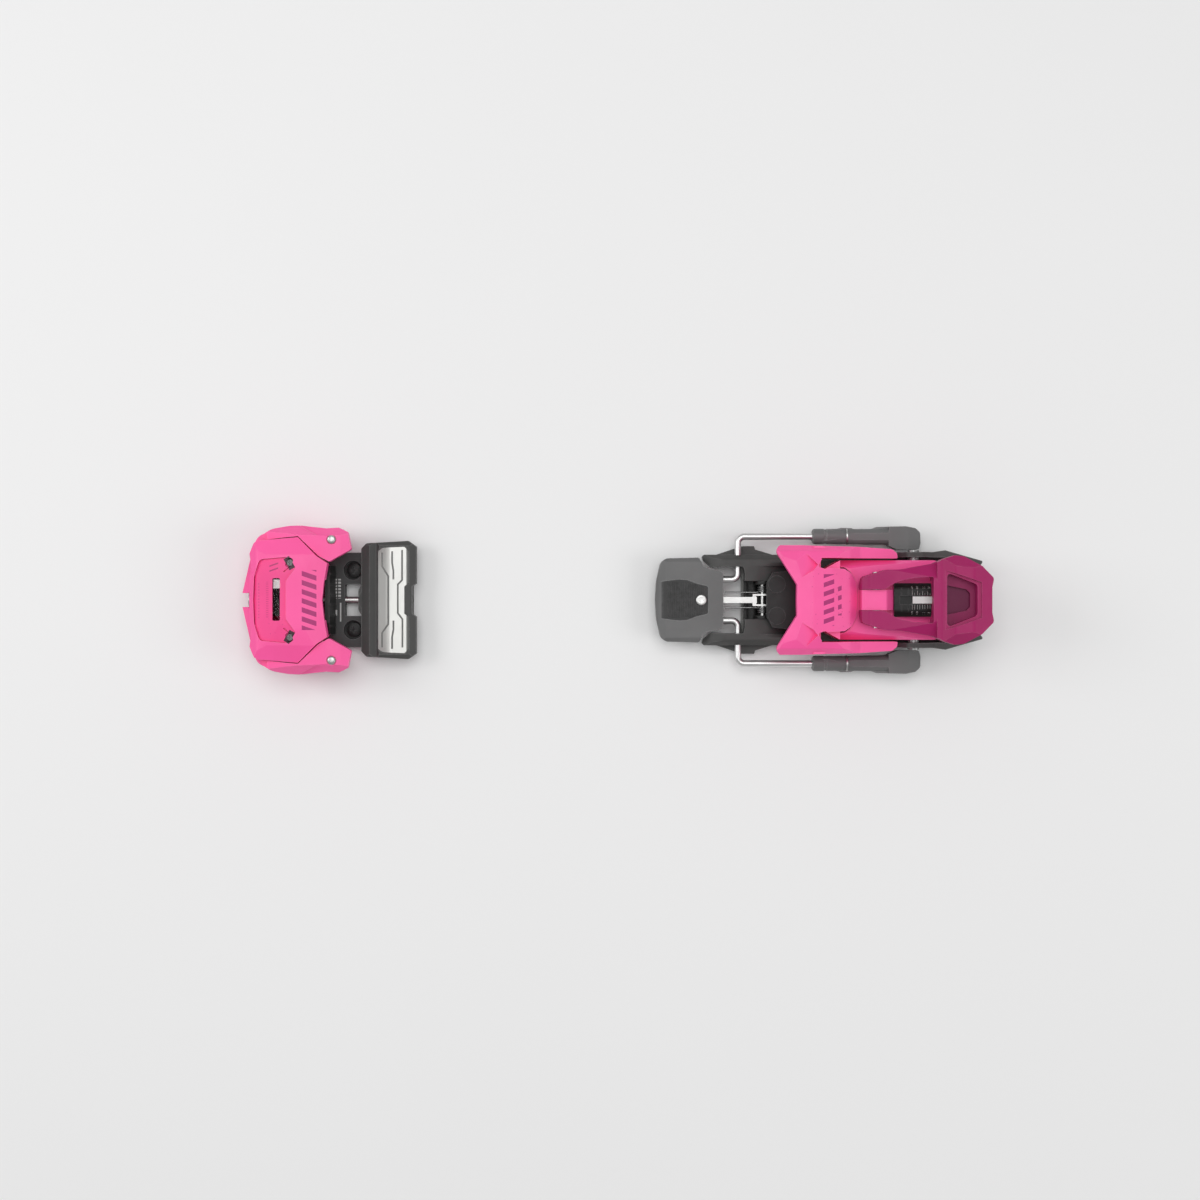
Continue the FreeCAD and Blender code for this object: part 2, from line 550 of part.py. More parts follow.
# ---------------------------------------------------------------- heel unit, housing, cup and release
def heel_housing():
    """The inner shell: a ridge for the lever's axle, shoulders beside the lever's arms and a spring barrel."""
    half = S["body_half"]
    side = prism("XZ", [(338.0, 16.0), (338.0, 45.0), (345.0, 46.5), (380.0, 42.5), (400.0, 39.0),
                        (418.0, 37.0),
                        (421.5, 34.0), (420.0, 31.0), (404.0, 27.6), (401.0, 18.5), (397.0, 15.4), (387.0,
                                15.4),
                        (374.0, 17.0)], -half, half)
    plan = prism("XY", mirrored([(349.9, 0.0), (349.1, 12.4), (345.6, 18.4), (341.0, 22.3), (338.0, 22.3),
                                 (338.0, half), (404.0, half), (421.5, 21.0)]), 0.0, 70.0)
    ridge = prism("XZ", [(351.2, 40.0), (351.2, 55.6), (353.6, 57.0), (368.0, 57.0), (374.0, 47.0),
                         (374.0, 40.0)],
                  -6.9, 6.9)
    barrel = rod(8.7, 48.5, (373.0, 0.0, S["release_axis_up"]), "x")
    drum_well = box((374.6, -11.7, 44.4), (400.4, 11.7, 60.0))
    hollow = rod(6.8, 37.6, (368.0, 0.0, S["release_axis_up"]), "x")
    cavity = prism("XZ", [(343.0, 18.0), (343.0, 42.0), (346.0, 43.0), (376.0, 39.8), (376.0, 18.0)], -24.6,
                   24.6)
    screw_hole = rod(3.1, 30.0, (405.0, 0.0, S["release_axis_up"]), "x")
    indicator_slot = box((378.6, -2.8, 38.0), (405.4, 2.8, 47.2))
    head_hole = rod(6.5, 6.0, (418.0, 0.0, S["release_axis_up"]), "x")
    axle_hole = rod(S["heel_axle_rad"] + 0.05, 90.0, (S["heel_axle_fore"], -45.0, S["heel_axle_up"]), "y")
    lever_hole = rod(S["lever_axle_rad"] + 0.05, 30.0, (S["lever_axle_fore"], -15.0, S["lever_axle_up"]), "y")
    underside = prism("XZ", [(337.0, 15.0), (337.0, 20.0), (374.0, 20.0), (374.0, 11.0)], -60.0, 60.0)
    whole = cut(fuse(common(side, plan), ridge, barrel), drum_well, cavity, hollow, screw_hole, head_hole,
                axle_hole, lever_hole, underside, indicator_slot)
    return node(whole, "heel_housing")


def heel_cup():
    """The front shell: the upper lip over the boot's heel, its tongue and the arms beside the housing."""
    half = S["body_half"]
    plan = prism("XY", mirrored([(307.4, 0.0), (307.6, 10.6), (293.4, 33.2), (296.3, 37.6),
                                 (300.4, S["cup_half"]), (320.9, 37.0), (351.6, 36.2), (374.2,
                                         34.8), (377.6, 32.0),
                                 (378.0, half), (324.5, half), (320.5, 21.6), (340.0, 21.6), (345.0, 18.0),
                                 (348.6, 12.0), (349.4, 0.0)]), 20.0, 70.0)
    side = prism("XZ", [(293.0, 48.0), (293.0, 52.0), (298.0, 55.0), (318.0, 57.5), (332.0, 56.2),
                        (344.0, 52.0),
                        (352.0, 46.8), (379.0, 42.0), (379.0, 27.6), (372.0, 24.6), (322.0, 24.6), (318.0,
                                48.0)],
                 -60.0, 60.0)
    crown = prism("YZ", [(-39.0, 20.0), (-39.0, 46.0), (-33.0, 53.5), (-22.0, 58.0), (22.0, 58.0),
                         (33.0, 53.5),
                         (39.0, 46.0), (39.0, 20.0)], 290.0, 380.0)
    wall = prism("XY", mirrored([(322.0, 0.0), (322.0, 30.0), (319.0, 36.8), (326.0, 36.8), (337.4, 30.0),
                                 (337.4, 0.0)]), 24.6, 50.4)
    core = cut(common(plan, side, crown), prism("XY", mirrored([(326.0, 0.0), (326.0, 20.4),
                                                                (351.0, 20.4)]), 24.0, 46.9))
    boot_space = prism("XY", mirrored([(280.0, 34.0), (306.0, 34.0), (316.0, 29.0), (321.8, 18.0),
                                       (323.0, 0.0)]),
                       10.0, 48.2)
    bolt_holes = both(lambda s: rod(2.0, 12.0, (330.0, 14.0 * s, 18.0)))
    return node(cut(fuse(core, wall), boot_space, *bolt_holes), "heel_cup")


def heel_treadle():
    """The step-in plate under the boot's heel, bolted to the cup's rear wall."""
    plate = prism("XY", mirrored([(290.0, 12.0), (294.0, 19.0), (318.0, 22.0), (334.0, 22.0)]), 20.4, 24.2)
    pads = both(lambda s: rod(6.0, 1.2, (297.0, 11.0 * s, 24.0)))
    bolt_holes = both(lambda s: rod(2.0, 12.0, (330.0, 14.0 * s, 18.0)))
    return node(cut(fuse(plate, *pads), *bolt_holes), "heel_treadle")


def cup_bolts():
    def one(s):
        head = rod(3.2, 2.0, (330.0, 14.0 * s, 18.3))
        return fuse(head, rod(1.95, 8.6, (330.0, 14.0 * s, 20.0)))
    return node(fuse(*both(one)), "cup_bolts")


def release_spring():
    f = solid_feature("release", coil(N["release_spring_rad"], N["release_wire_rad"], 6, 24.0))
    place(f, 375.0, 0.0, S["release_axis_up"], TURN["x"])
    return node(f, "release_spring")


def release_piston():
    return node(fuse(rod(6.5, 3.0, (370.6, 0.0, S["release_axis_up"]), "x"),
                     rod(3.4, 10.0, (372.0, 0.0, S["release_axis_up"]), "x")), "release_piston")


def release_nut():
    disc = rod(6.5, 3.6, (400.4, 0.0, S["release_axis_up"]), "x")
    notch = box((400.0, -1.2, 41.0), (402.4, 1.2, 43.0))
    return node(cut(disc, notch, rod(3.05, 9.0, (399.0, 0.0, S["release_axis_up"]), "x")), "release_nut")


def release_screw():
    up = N["release_axis_up"]
    shaft = rod(3.0, 34.0, (386.0, 0.0, up), "x")
    head = rod(6.2, 3.4, (418.2, 0.0, up), "x")
    drive = fuse(box((420.0, -3.2, up - 0.7), (422.6, 3.2, up + 0.7)),
                 box((420.0, -0.7, up - 3.2), (422.6, 0.7, up + 3.2)))
    return node(cut(fuse(shaft, head), drive), "release_screw")


def release_scale():
    plate = prism("YZ", [(-11.5, 44.4), (11.5, 44.4), (11.5, 45.4), (8.0, 47.6), (-8.0, 47.6), (-11.5, 45.4)],
                  374.8, 400.2)
    bar_groove = box((378.6, -2.9, 45.5), (402.0, 2.9, 50.0))
    stem_slot = box((391.8, -2.9, 44.0), (402.0, 2.9, 50.0))
    return node(cut(plate, bar_groove, stem_slot), "release_scale")


def release_indicator():
    bar = box((387.4, -2.4, 45.6), (402.4, 2.4, 47.5))
    stem = box((400.6, -1.2, 41.0), (402.4, 1.2, 46.0))
    return node(fuse(bar, stem), "release_indicator")


def heel_lever():
    """The release lever: two arms beside the housing's ridge and a tail with a pocket for a pole tip."""
    plan = prism("XY", mirrored([(350.6, 7.2), (350.6, 10.0), (351.6, 15.5), (367.0, 20.4), (377.0, 20.6),
                                 (399.0, 24.6),
                                 (406.0, 28.0), (413.0, 30.2), (419.0, 29.4), (430.0, 22.6), (438.4, 14.6),
                                 (437.0, 8.6)]), 30.0, 90.0)
    side = prism("XZ", [(350.0, 47.0), (350.6, 57.5), (356.0, 60.6), (372.0, 60.6), (398.0, 63.0),
                        (404.0, 64.5),
                        (412.0, 70.0), (424.0, 71.5), (438.6, 67.0), (438.6, 63.0), (430.0, 54.0), (414.0,
                                51.0),
                        (400.0, 50.4), (376.0, 49.6), (358.0, 46.6)], -60.0, 60.0)
    crown = prism("YZ", [(-20.0, 40.0), (-31.0, 58.0), (-30.0, 63.0), (-21.0, 72.0), (21.0, 72.0),
                         (30.0, 63.0),
                         (31.0, 58.0), (20.0, 40.0)], 340.0, 440.0)
    gap = prism("XY", mirrored([(340.0, 7.2), (366.0, 7.2), (374.8, 12.6), (386.0, 15.0), (398.6, 15.6)]),
                30.0, 90.0)
    pocket = prism("XY", mirrored([(407.0, 18.4), (427.0, 10.4), (427.0, 0.0)]), 59.0, 90.0)
    deep = prism("XY", mirrored([(407.0, 10.0), (421.0, 6.8), (424.0, 4.6)]), 57.0, 90.0)
    bar_relief = box((390.0, -13.0, 40.0), (407.6, 13.0, 57.4))
    belly_relief = box((400.0, -11.4, 40.0), (426.0, 11.4, 55.0))
    axle_hole = rod(S["lever_axle_rad"], 60.0, (S["lever_axle_fore"], -30.0, S["lever_axle_up"]), "y")
    return node(cut(common(plan, side, crown), gap, pocket, deep, bar_relief, belly_relief, axle_hole),
                "heel_lever")


def lever_axle():
    return node(rod(S["lever_axle_rad"] - 0.02, 38.0, (S["lever_axle_fore"], -19.0, S["lever_axle_up"]), "y"),
                "lever_axle")


# ---------------------------------------------------------------- brake
def brake_base():
    half_deck, deck = 31.8, 19.0
    body = prism("XY", mirrored([(275.4, 0.0), (275.4, 23.4), (249.0, 23.4), (247.6, 27.0), (247.8, 31.0),
                             (249.0, half_deck), (300.0, half_deck), (312.0, 26.0), (312.0, 0.0)]), 6.9, deck)
    flange = both(lambda s: prism("XY", [(x, y * s) for x, y in ((254.0, 26.0), (255.0, 31.6),
                                                                 (269.8, 36.6), (274.6, 38.0),
                                                                 (282.6, 38.0), (283.4, 35.6), (296.0, 31.8),
                                                                 (296.0, 26.0))], 0.6, 8.4))
    lowering = prism("XZ", [(240.0, 15.0), (252.0, 19.1), (240.0, 25.0)], -60.0, 60.0)
    well = box((275.0, -13.2, 8.4), (297.0, 13.2, 30.0))
    front_sink = prism("XZ", [(297.0, 15.5), (285.0, 19.1), (285.0, 30.0), (320.0, 30.0), (320.0, 14.0)],
                       -24.0, 24.0)
    carriage_room = box((297.0, -31.6, 0.0), (320.0, 31.6, 13.0))
    screw_room = box((284.0, -18.0, 0.0), (300.0, 18.0, 8.0))
    wire_hole = rod(3.56, 90.0, (S["brake_axis_fore"], -45.0, S["brake_axis_up"]), "y")
    hub_hole = rod(1.5, 30.0, (S["link_axis_fore"], -15.0, S["link_axis_up"]), "y")
    return node(cut(fuse(body, *flange), lowering, well, front_sink, carriage_room, screw_room, wire_hole,
                    hub_hole),
                "brake_base")


def brake_bushes():
    def one(s):
        y = min(25.4 * s, 31.4 * s)
        ring = rod(3.5, 6.0, (S["brake_axis_fore"], y, S["brake_axis_up"]), "y")
        return cut(ring, rod(S["brake_wire_rad"] + 0.05, 20.0, (S["brake_axis_fore"], y - 5.0,
                                                                S["brake_axis_up"]), "y"))
    return node(fuse(*both(one)), "brake_bushes")


def brake_wire(side, name):
    up = N["brake_axis_up"]
    points = [V(x, side * y, up) for x, y in ((N["brake_crank_fore"], 2.0),
                                              (N["brake_crank_fore"], N["brake_crank_side"]),
                                              (N["brake_axis_fore"], N["brake_crank_side"]),
                                              (N["brake_axis_fore"], N["brake_arm_side"]),
                                              (334.0, N["brake_arm_side"]))]
    return node(solid_feature("wire", bent_wire(points, N["brake_wire_rad"], 4.6)), f"brake_wire_{name}")


def brake_shoe(side, name):
    """The moulded end of a brake arm: a round sleeve that widens into a blade."""
    up, mid = N["brake_axis_up"], N["brake_arm_side"] * side

    def yspan(a, b):
        return (a, b) if side > 0 else (-b, -a)

    sleeve = rod(5.4, 22.0, (323.0, mid, up), "x")
    blade = prism("XY", [(x, side * y) for x, y in ((330.0, 39.2), (330.0, 49.8), (352.0, 50.4),
                                                    (364.0, 49.8),
                                                    (368.0, 51.2), (388.0, 51.6), (395.0, 50.4), (398.6,
                                                            47.4),
                                                    (399.0, 40.0), (397.6, 35.4), (382.0, 35.4), (374.0,
                                                            38.6))],
                  up - 5.4, up + 5.4)
    profile = prism("XZ", [(329.0, up - 4.4), (329.0, up + 4.4), (345.0, up + 5.4), (390.0, up + 5.4),
                           (399.2, up + 1.5), (399.2, up - 5.4), (380.0, up - 5.4)], *yspan(30.0, 56.0))
    bore = rod(S["brake_wire_rad"] + 0.02, 13.0, (321.5, mid, up), "x")
    return node(cut(fuse(sleeve, common(blade, profile)), bore), f"brake_shoe_{name}")


def brake_pedal():
    top = S["pedal_top"]
    plan = prism("XY", mirrored([(212.6, 0.0), (213.4, 13.5), (216.5, 26.6), (220.4, 29.1), (243.4, 29.7),
                                 (245.6, 23.2),
                                 (249.0, 22.2), (257.0, 20.6), (260.2, 19.2), (260.2, 0.0)]), 8.0, top)
    side = prism("XZ", [(212.0, 8.0), (212.0, 16.4), (215.0, 19.2), (220.0, top), (261.0, top), (261.0, 12.6),
                        (235.0, 9.4)], -50.0, 50.0)
    hollow = prism("XY", mirrored([(216.0, 0.0), (218.6, 24.4), (223.0, 26.4), (241.0, 27.0), (243.0, 21.0),
                                   (252.4, 19.2),
                                   (266.0, 26.0), (266.0, 0.0)]), 7.0, 17.4)
    clips = both(lambda s: box((244.2, min(5.6 * s, 9.2 * s), 10.0), (251.8, max(5.6 * s, 9.2 * s), 17.6)))
    pin_bore = rod(S["brake_wire_rad"] + 0.05, 40.0, (S["brake_crank_fore"], -20.0, S["brake_axis_up"]), "y")
    grip_seat = prism("XY", mirrored([(212.0, 13.2), (217.0, 13.0), (229.6, 14.4), (235.0, 14.0),
                                      (241.6, 11.4),
                                      (249.6, 9.6), (249.6, 0.0)]), N["pedal_top"] - 1.0, 30.0)
    rivet_hole = rod(2.0, 12.0, (244.7, 0.0, 12.0))
    crank_room = both(lambda s: box((240.0, min(9.2 * s, 24.0 * s), 7.0), (270.0, max(9.2 * s, 24.0 * s),
            16.2)))
    return node(cut(fuse(cut(common(plan, side), hollow, *crank_room), *clips), pin_bore, grip_seat,
                    rivet_hole),
                "brake_pedal")


def pedal_grip():
    pad = prism("XY", mirrored([(213.4, 12.9), (217.0, 12.7), (229.6, 14.1), (235.0, 13.7), (241.6, 11.1),
                                (249.3, 9.4), (249.3, 0.0)]), N["pedal_top"] - 0.95, N["pedal_top"] - 0.3)
    ribs = [box((x, -8.6, N["pedal_top"] - 0.4), (x + 0.55, 8.6, N["pedal_top"] + 0.15)) for x in
            [222.0 + 1.1 * i for i in range(16)]]
    trim = prism("XZ", [(212.0, 18.6), (220.2, N["pedal_top"] - 0.35), (220.2, 30.0), (212.0, 30.0)], -20.0,
                 20.0)
    rivet_hole = rod(2.0, 12.0, (244.7, 0.0, 15.0))
    return node(cut(fuse(pad, *ribs), trim, rivet_hole), "pedal_grip")


def pedal_rivet():
    head = rod(3.7, 0.9, (244.7, 0.0, N["pedal_top"] + 0.2))
    return node(fuse(head, rod(1.95, 7.2, (244.7, 0.0, 13.8))), "pedal_rivet")


def brake_link():
    """The flat strut from the pedal to its pin in the base, forked at the pin."""
    up = N["link_axis_up"]
    strut = box((252.6, -2.1, up - 0.7), (284.0, 2.1, up + 0.7))
    ears = both(lambda s: box((281.0, min(3.0 * s, 4.2 * s), up - 2.4), (290.4, max(3.0 * s, 4.2 * s),
            up + 2.4)))
    bridge = box((281.0, -4.2, up - 0.7), (283.6, 4.2, up + 0.7))
    return node(cut(fuse(strut, bridge, *ears), rod(1.55, 30.0, (288.0, -15.0, up), "y")), "brake_link")


def link_pin():
    return node(rod(1.48, 30.0, (S["link_axis_fore"], -15.0, S["link_axis_up"]), "y"), "link_pin")


def brake_return_spring():
    """A torsion spring: a coil each side of the strut, with a leg forward along it."""
    up = N["link_axis_up"]

    def one(s):
        body = coil(3.0, 0.55, 3, 4.2)
        body.rotate(V(0, 0, 0), V(1, 0, 0), -90 * s)
        body.translate(V(288.0, 5.3 * s, up))
        leg = Part.makeCylinder(0.55, 25.4, V(262.0, 5.4 * s, up - 3.0), V(1, 0, 0))
        return body.fuse(leg)
    f = solid_feature("torsion", Part.makeCompound([one(1), one(-1)]))
    return node(f, "brake_return_spring")


# ---------------------------------------------------------------- build everything
def build_toe_unit():
    toe_base_plate()
    toe_housing()
    toe_cover()
    toe_cover_screws()
    wing_pivot_pins()
    toe_window_lens()
    toe_adjust_screw()
    toe_spring_nut()
    toe_cam_plate()
    toe_spring()
    toe_thrust_plate()
    toe_indicator()
    for side, name in ((1, "right"), (-1, "left")):
        wing(side, name)
        roller(side, name)
    afd_carriage()
    afd_slide_plate()
    afd_spindle()
    afd_nut()


def build_heel_unit():
    heel_track()
    heel_carriage()
    heel_axle()
    length_worm()
    forward_pressure_springs()
    heel_housing()
    heel_cup()
    heel_treadle()
    cup_bolts()
    release_spring()
    release_piston()
    release_nut()
    release_screw()
    release_scale()
    release_indicator()
    heel_lever()
    lever_axle()


def build_brake():
    brake_base()
    brake_bushes()
    for side, name in ((1, "right"), (-1, "left")):
        brake_wire(side, name)
        brake_shoe(side, name)
    brake_pedal()
    pedal_grip()
    pedal_rivet()
    brake_link()
    link_pin()
    brake_return_spring()


build_toe_unit()
build_heel_unit()
build_brake()
doc.recompute()

failed = [o.Label for o in doc.Objects if "Invalid" in o.State or "Error" in o.State]
if failed:
    raise SystemExit(f"failed objects: {failed}")
os.makedirs("parts", exist_ok=True)
for piece in nodes:
    shape = piece.Shape
    if shape.isNull() or not shape.isValid() or not shape.Solids:
        raise SystemExit(f"{piece.Label} has no valid shape")
    size = shape.BoundBox
    ends = [size.XMin, size.XMax, size.YMin, size.YMax, size.ZMin, size.ZMax]
    spans = " ".join(f"{end:7.1f}" for end in ends)
    print(f"{piece.Label:26s} solids {len(shape.Solids)}  volume {shape.Volume:10.1f}  x y z {spans}")
    shape.exportStep(f"parts/{piece.Label}.step")
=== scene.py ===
import math

import bmesh
import bpy
from mathutils import Matrix, Vector


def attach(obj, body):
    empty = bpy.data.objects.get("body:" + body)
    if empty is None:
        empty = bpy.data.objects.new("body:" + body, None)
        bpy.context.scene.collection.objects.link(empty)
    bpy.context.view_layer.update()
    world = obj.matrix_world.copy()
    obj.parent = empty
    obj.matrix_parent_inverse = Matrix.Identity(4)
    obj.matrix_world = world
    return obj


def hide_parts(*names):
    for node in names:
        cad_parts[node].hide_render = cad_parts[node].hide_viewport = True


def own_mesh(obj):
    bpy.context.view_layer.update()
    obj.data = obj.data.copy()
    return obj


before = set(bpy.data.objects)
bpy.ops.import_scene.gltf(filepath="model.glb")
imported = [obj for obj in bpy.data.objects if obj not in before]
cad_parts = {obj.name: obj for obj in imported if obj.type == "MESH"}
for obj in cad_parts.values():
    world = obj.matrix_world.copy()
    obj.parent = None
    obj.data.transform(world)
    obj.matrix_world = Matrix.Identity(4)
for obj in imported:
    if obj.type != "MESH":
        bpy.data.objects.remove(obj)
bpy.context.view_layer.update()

# A ski binding, drawn in millimetres. Each piece rides the body of the CAD node that it stands for or belongs to.
MM = 0.001
SIDES = ((1, "right"), (-1, "left"))
bpy.context.scene.view_settings.view_transform = "Standard"


# ---------------------------------------------------------------- outlines, in millimetres
def mirrored(half):
    """A closed outline from the points of its +y side, front to rear."""
    return list(half) + [(x, -y) for x, y in reversed(half) if y > 0.001]


def rounded(points, radius, steps=4):
    """The outline with its corners turned into arcs; radius is one number, or one for each corner."""
    out, count = [], len(points)
    for i, corner in enumerate(points):
        r = radius[i] if isinstance(radius, (list, tuple)) else radius
        p = Vector(corner)
        back, ahead = Vector(points[i - 1]) - p, Vector(points[(i + 1) % count]) - p
        angle = back.angle(ahead)
        if r <= 0 or angle > math.radians(172):
            out.append(tuple(p))
            continue
        reach = min(r / math.tan(angle / 2), 0.46 * back.length, 0.46 * ahead.length)
        real = reach * math.tan(angle / 2)
        middle = p + (back.normalized() + ahead.normalized()).normalized() * (real / math.sin(angle / 2))
        first, last = p + back.normalized() * reach - middle, p + ahead.normalized() * reach - middle
        turn = first.angle_signed(last)
        for k in range(steps + 1):
            spin = -turn * k / steps
            c, s = math.cos(spin), math.sin(spin)
            out.append((middle.x + first.x * c - first.y * s, middle.y + first.x * s + first.y * c))
    return out


def balanced(half, radii, steps=4):
    """A rounded outline from the points of its +y side and their radii."""
    far = [r for (x, y), r in reversed(list(zip(half, radii))) if y > 0.001]
    return rounded(mirrored(half), radii + far, steps)


def on_side(side, points):
    """An outline given on the +y side, or its mirror image when side is -1."""
    return [(x, y * side) for x, y in points]


def rect(x0, y0, x1, y1):
    return [(x0, y0), (x1, y0), (x1, y1), (x0, y1)]


# ---------------------------------------------------------------- solids
def from_bmesh(bm, name="solid"):
    bmesh.ops.recalc_face_normals(bm, faces=bm.faces)
    mesh = bpy.data.meshes.new(name)
    bm.to_mesh(mesh)
    bm.free()
    obj = bpy.data.objects.new(name, mesh)
    bpy.context.scene.collection.objects.link(obj)
    return obj


def slab(points, low, high):
    """A solid over an XY outline. low and high are one height, or one for each point."""
    lows = low if isinstance(low, (list, tuple)) else [low] * len(points)
    highs = high if isinstance(high, (list, tuple)) else [high] * len(points)
    bm = bmesh.new()
    under = [bm.verts.new((x * MM, y * MM, z * MM)) for (x, y), z in zip(points, lows)]
    over = [bm.verts.new((x * MM, y * MM, z * MM)) for (x, y), z in zip(points, highs)]
    for i in range(len(points)):
        j = (i + 1) % len(points)
        bm.faces.new((under[i], under[j], over[j], over[i]))
    caps = [bm.faces.new(list(reversed(under))), bm.faces.new(over)]
    bm.normal_update()
    bmesh.ops.triangulate(bm, faces=caps, ngon_method="BEAUTY")
    return from_bmesh(bm)


AXES = {"XY": lambda a, b, c: (a, b, c), "XZ": lambda a, b, c: (a, c, b), "YZ": lambda a, b, c: (c, a, b)}


def prism(plane, points, start, end):
    """An outline in one plane, carried from start to end along the third axis."""
    put = AXES[plane]
    bm = bmesh.new()
    rings = [[bm.verts.new(Vector(put(a, b, c)) * MM) for a, b in points] for c in (start, end)]
    for i in range(len(points)):
        j = (i + 1) % len(points)
        bm.faces.new((rings[0][i], rings[0][j], rings[1][j], rings[1][i]))
    caps = [bm.faces.new(ring) for ring in rings]
    bm.normal_update()
    bmesh.ops.triangulate(bm, faces=caps, ngon_method="BEAUTY")
    return from_bmesh(bm)


def block(low, high):
    return prism("XY", rect(low[0], low[1], high[0], high[1]), low[2], high[2])


def xz_section(points, radii, reach, steps=4):
    """A rounded XZ section, reach to each side of the centre plane."""
    return prism("XZ", rounded(points, radii, steps), -reach, reach)


def yz_section(half, radii, start, end, steps=4):
    """A YZ section given up its -y side, mirrored and carried from start to end."""
    return prism("YZ", rounded(half + [(-y, z) for y, z in reversed(half)], radii + radii[::-1], steps), start, end)


def side_block(side, low, high):
    """A block given on the +y side, or its mirror image when side is -1."""
    near, far = sorted((low[1] * side, high[1] * side))
    return block((low[0], near, low[2]), (high[0], far, high[2]))


def cross_recess(x, y, low, high, reach, half):
    """The two blocks that cut a cross into a screw's head."""
    return [block((x - a, y - b, low), (x + a, y + b, high)) for a, b in ((reach, half), (half, reach))]


def lathe(profile, at, along="z", count=40):
    """A turned solid: profile holds (radius, height) from one end on the axis to the other."""
    put = {"z": lambda r, s, h: (r, s, h), "x": lambda r, s, h: (h, r, s), "y": lambda r, s, h: (s, h, r)}[along]
    turns = [2 * math.pi * k / count for k in range(count)]
    bm = bmesh.new()

    def vert(r, s, h):
        return bm.verts.new((Vector(at) + Vector(put(r, s, h))) * MM)

    rings = []
    for radius, height in profile:
        if radius < 1e-6:
            rings.append([vert(0, 0, height)])
        else:
            rings.append([vert(radius * math.cos(turn), radius * math.sin(turn), height) for turn in turns])
    for a, b in zip(rings, rings[1:]):
        for k in range(count):
            n = (k + 1) % count
            if len(a) == 1:
                bm.faces.new((a[0], b[k], b[n]))
            elif len(b) == 1:
                bm.faces.new((a[k], a[n], b[0]))
            else:
                bm.faces.new((a[k], a[n], b[n], b[k]))
    return from_bmesh(bm)


def rod(radius, start, end, at, along="z", count=40):
    """A plain cylinder."""
    return lathe([(0, start), (radius, start), (radius, end), (0, end)], at, along, count)


def combine(base, kind, *others):
    """base with the others added, taken away or kept in common."""
    for other in others:
        step = base.modifiers.new("step", "BOOLEAN")
        step.operation, step.solver, step.object = kind, "MANIFOLD", other
    graph = bpy.context.evaluated_depsgraph_get()
    mesh = bpy.data.meshes.new_from_object(base.evaluated_get(graph))
    base.modifiers.clear()
    base.data = mesh
    for other in others:
        bpy.data.objects.remove(other)
    return base


def cut(base, *tools):
    return combine(base, "DIFFERENCE", *tools)


def fuse(base, *tools):
    return combine(base, "UNION", *tools)


def common(base, *tools):
    return combine(base, "INTERSECT", *tools)


def copied(obj):
    twin = bpy.data.objects.new("copy", obj.data.copy())
    bpy.context.scene.collection.objects.link(twin)
    return twin


def piece(obj, name, body, material, stands_for=(), bevel=0.5, angle=24, segments=3):
    """A finished piece: clean faces, rounded edges, a material, and the CAD body it rides on."""
    obj.name = obj.data.name = name
    bm = bmesh.new()
    bm.from_mesh(obj.data)
    bmesh.ops.remove_doubles(bm, verts=bm.verts, dist=2e-6)
    bmesh.ops.dissolve_limit(bm, angle_limit=math.radians(0.6), verts=bm.verts, edges=bm.edges)
    bmesh.ops.triangulate(bm, faces=[face for face in bm.faces if len(face.verts) > 4], ngon_method="EAR_CLIP")
    lone = [face for face in bm.faces if all(edge.is_boundary for edge in face.edges)]
    bmesh.ops.delete(bm, geom=lone, context="FACES")
    bmesh.ops.recalc_face_normals(bm, faces=bm.faces)
    bm.to_mesh(obj.data)
    bm.free()
    for face in obj.data.polygons:
        face.use_smooth = True
    if bevel:
        edge = obj.modifiers.new("edges", "BEVEL")
        edge.width, edge.segments, edge.limit_method = bevel * MM, segments, "ANGLE"
        edge.angle_limit, edge.use_clamp_overlap = math.radians(angle), True
        edge.miter_outer = "MITER_ARC"
        edge.harden_normals = True
    weigh = obj.modifiers.new("normals", "WEIGHTED_NORMAL")
    weigh.keep_sharp, weigh.weight = False, 80
    obj.data.materials.clear()
    obj.data.materials.append(material)
    if stands_for:
        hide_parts(*stands_for)
    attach(obj, body)
    return obj


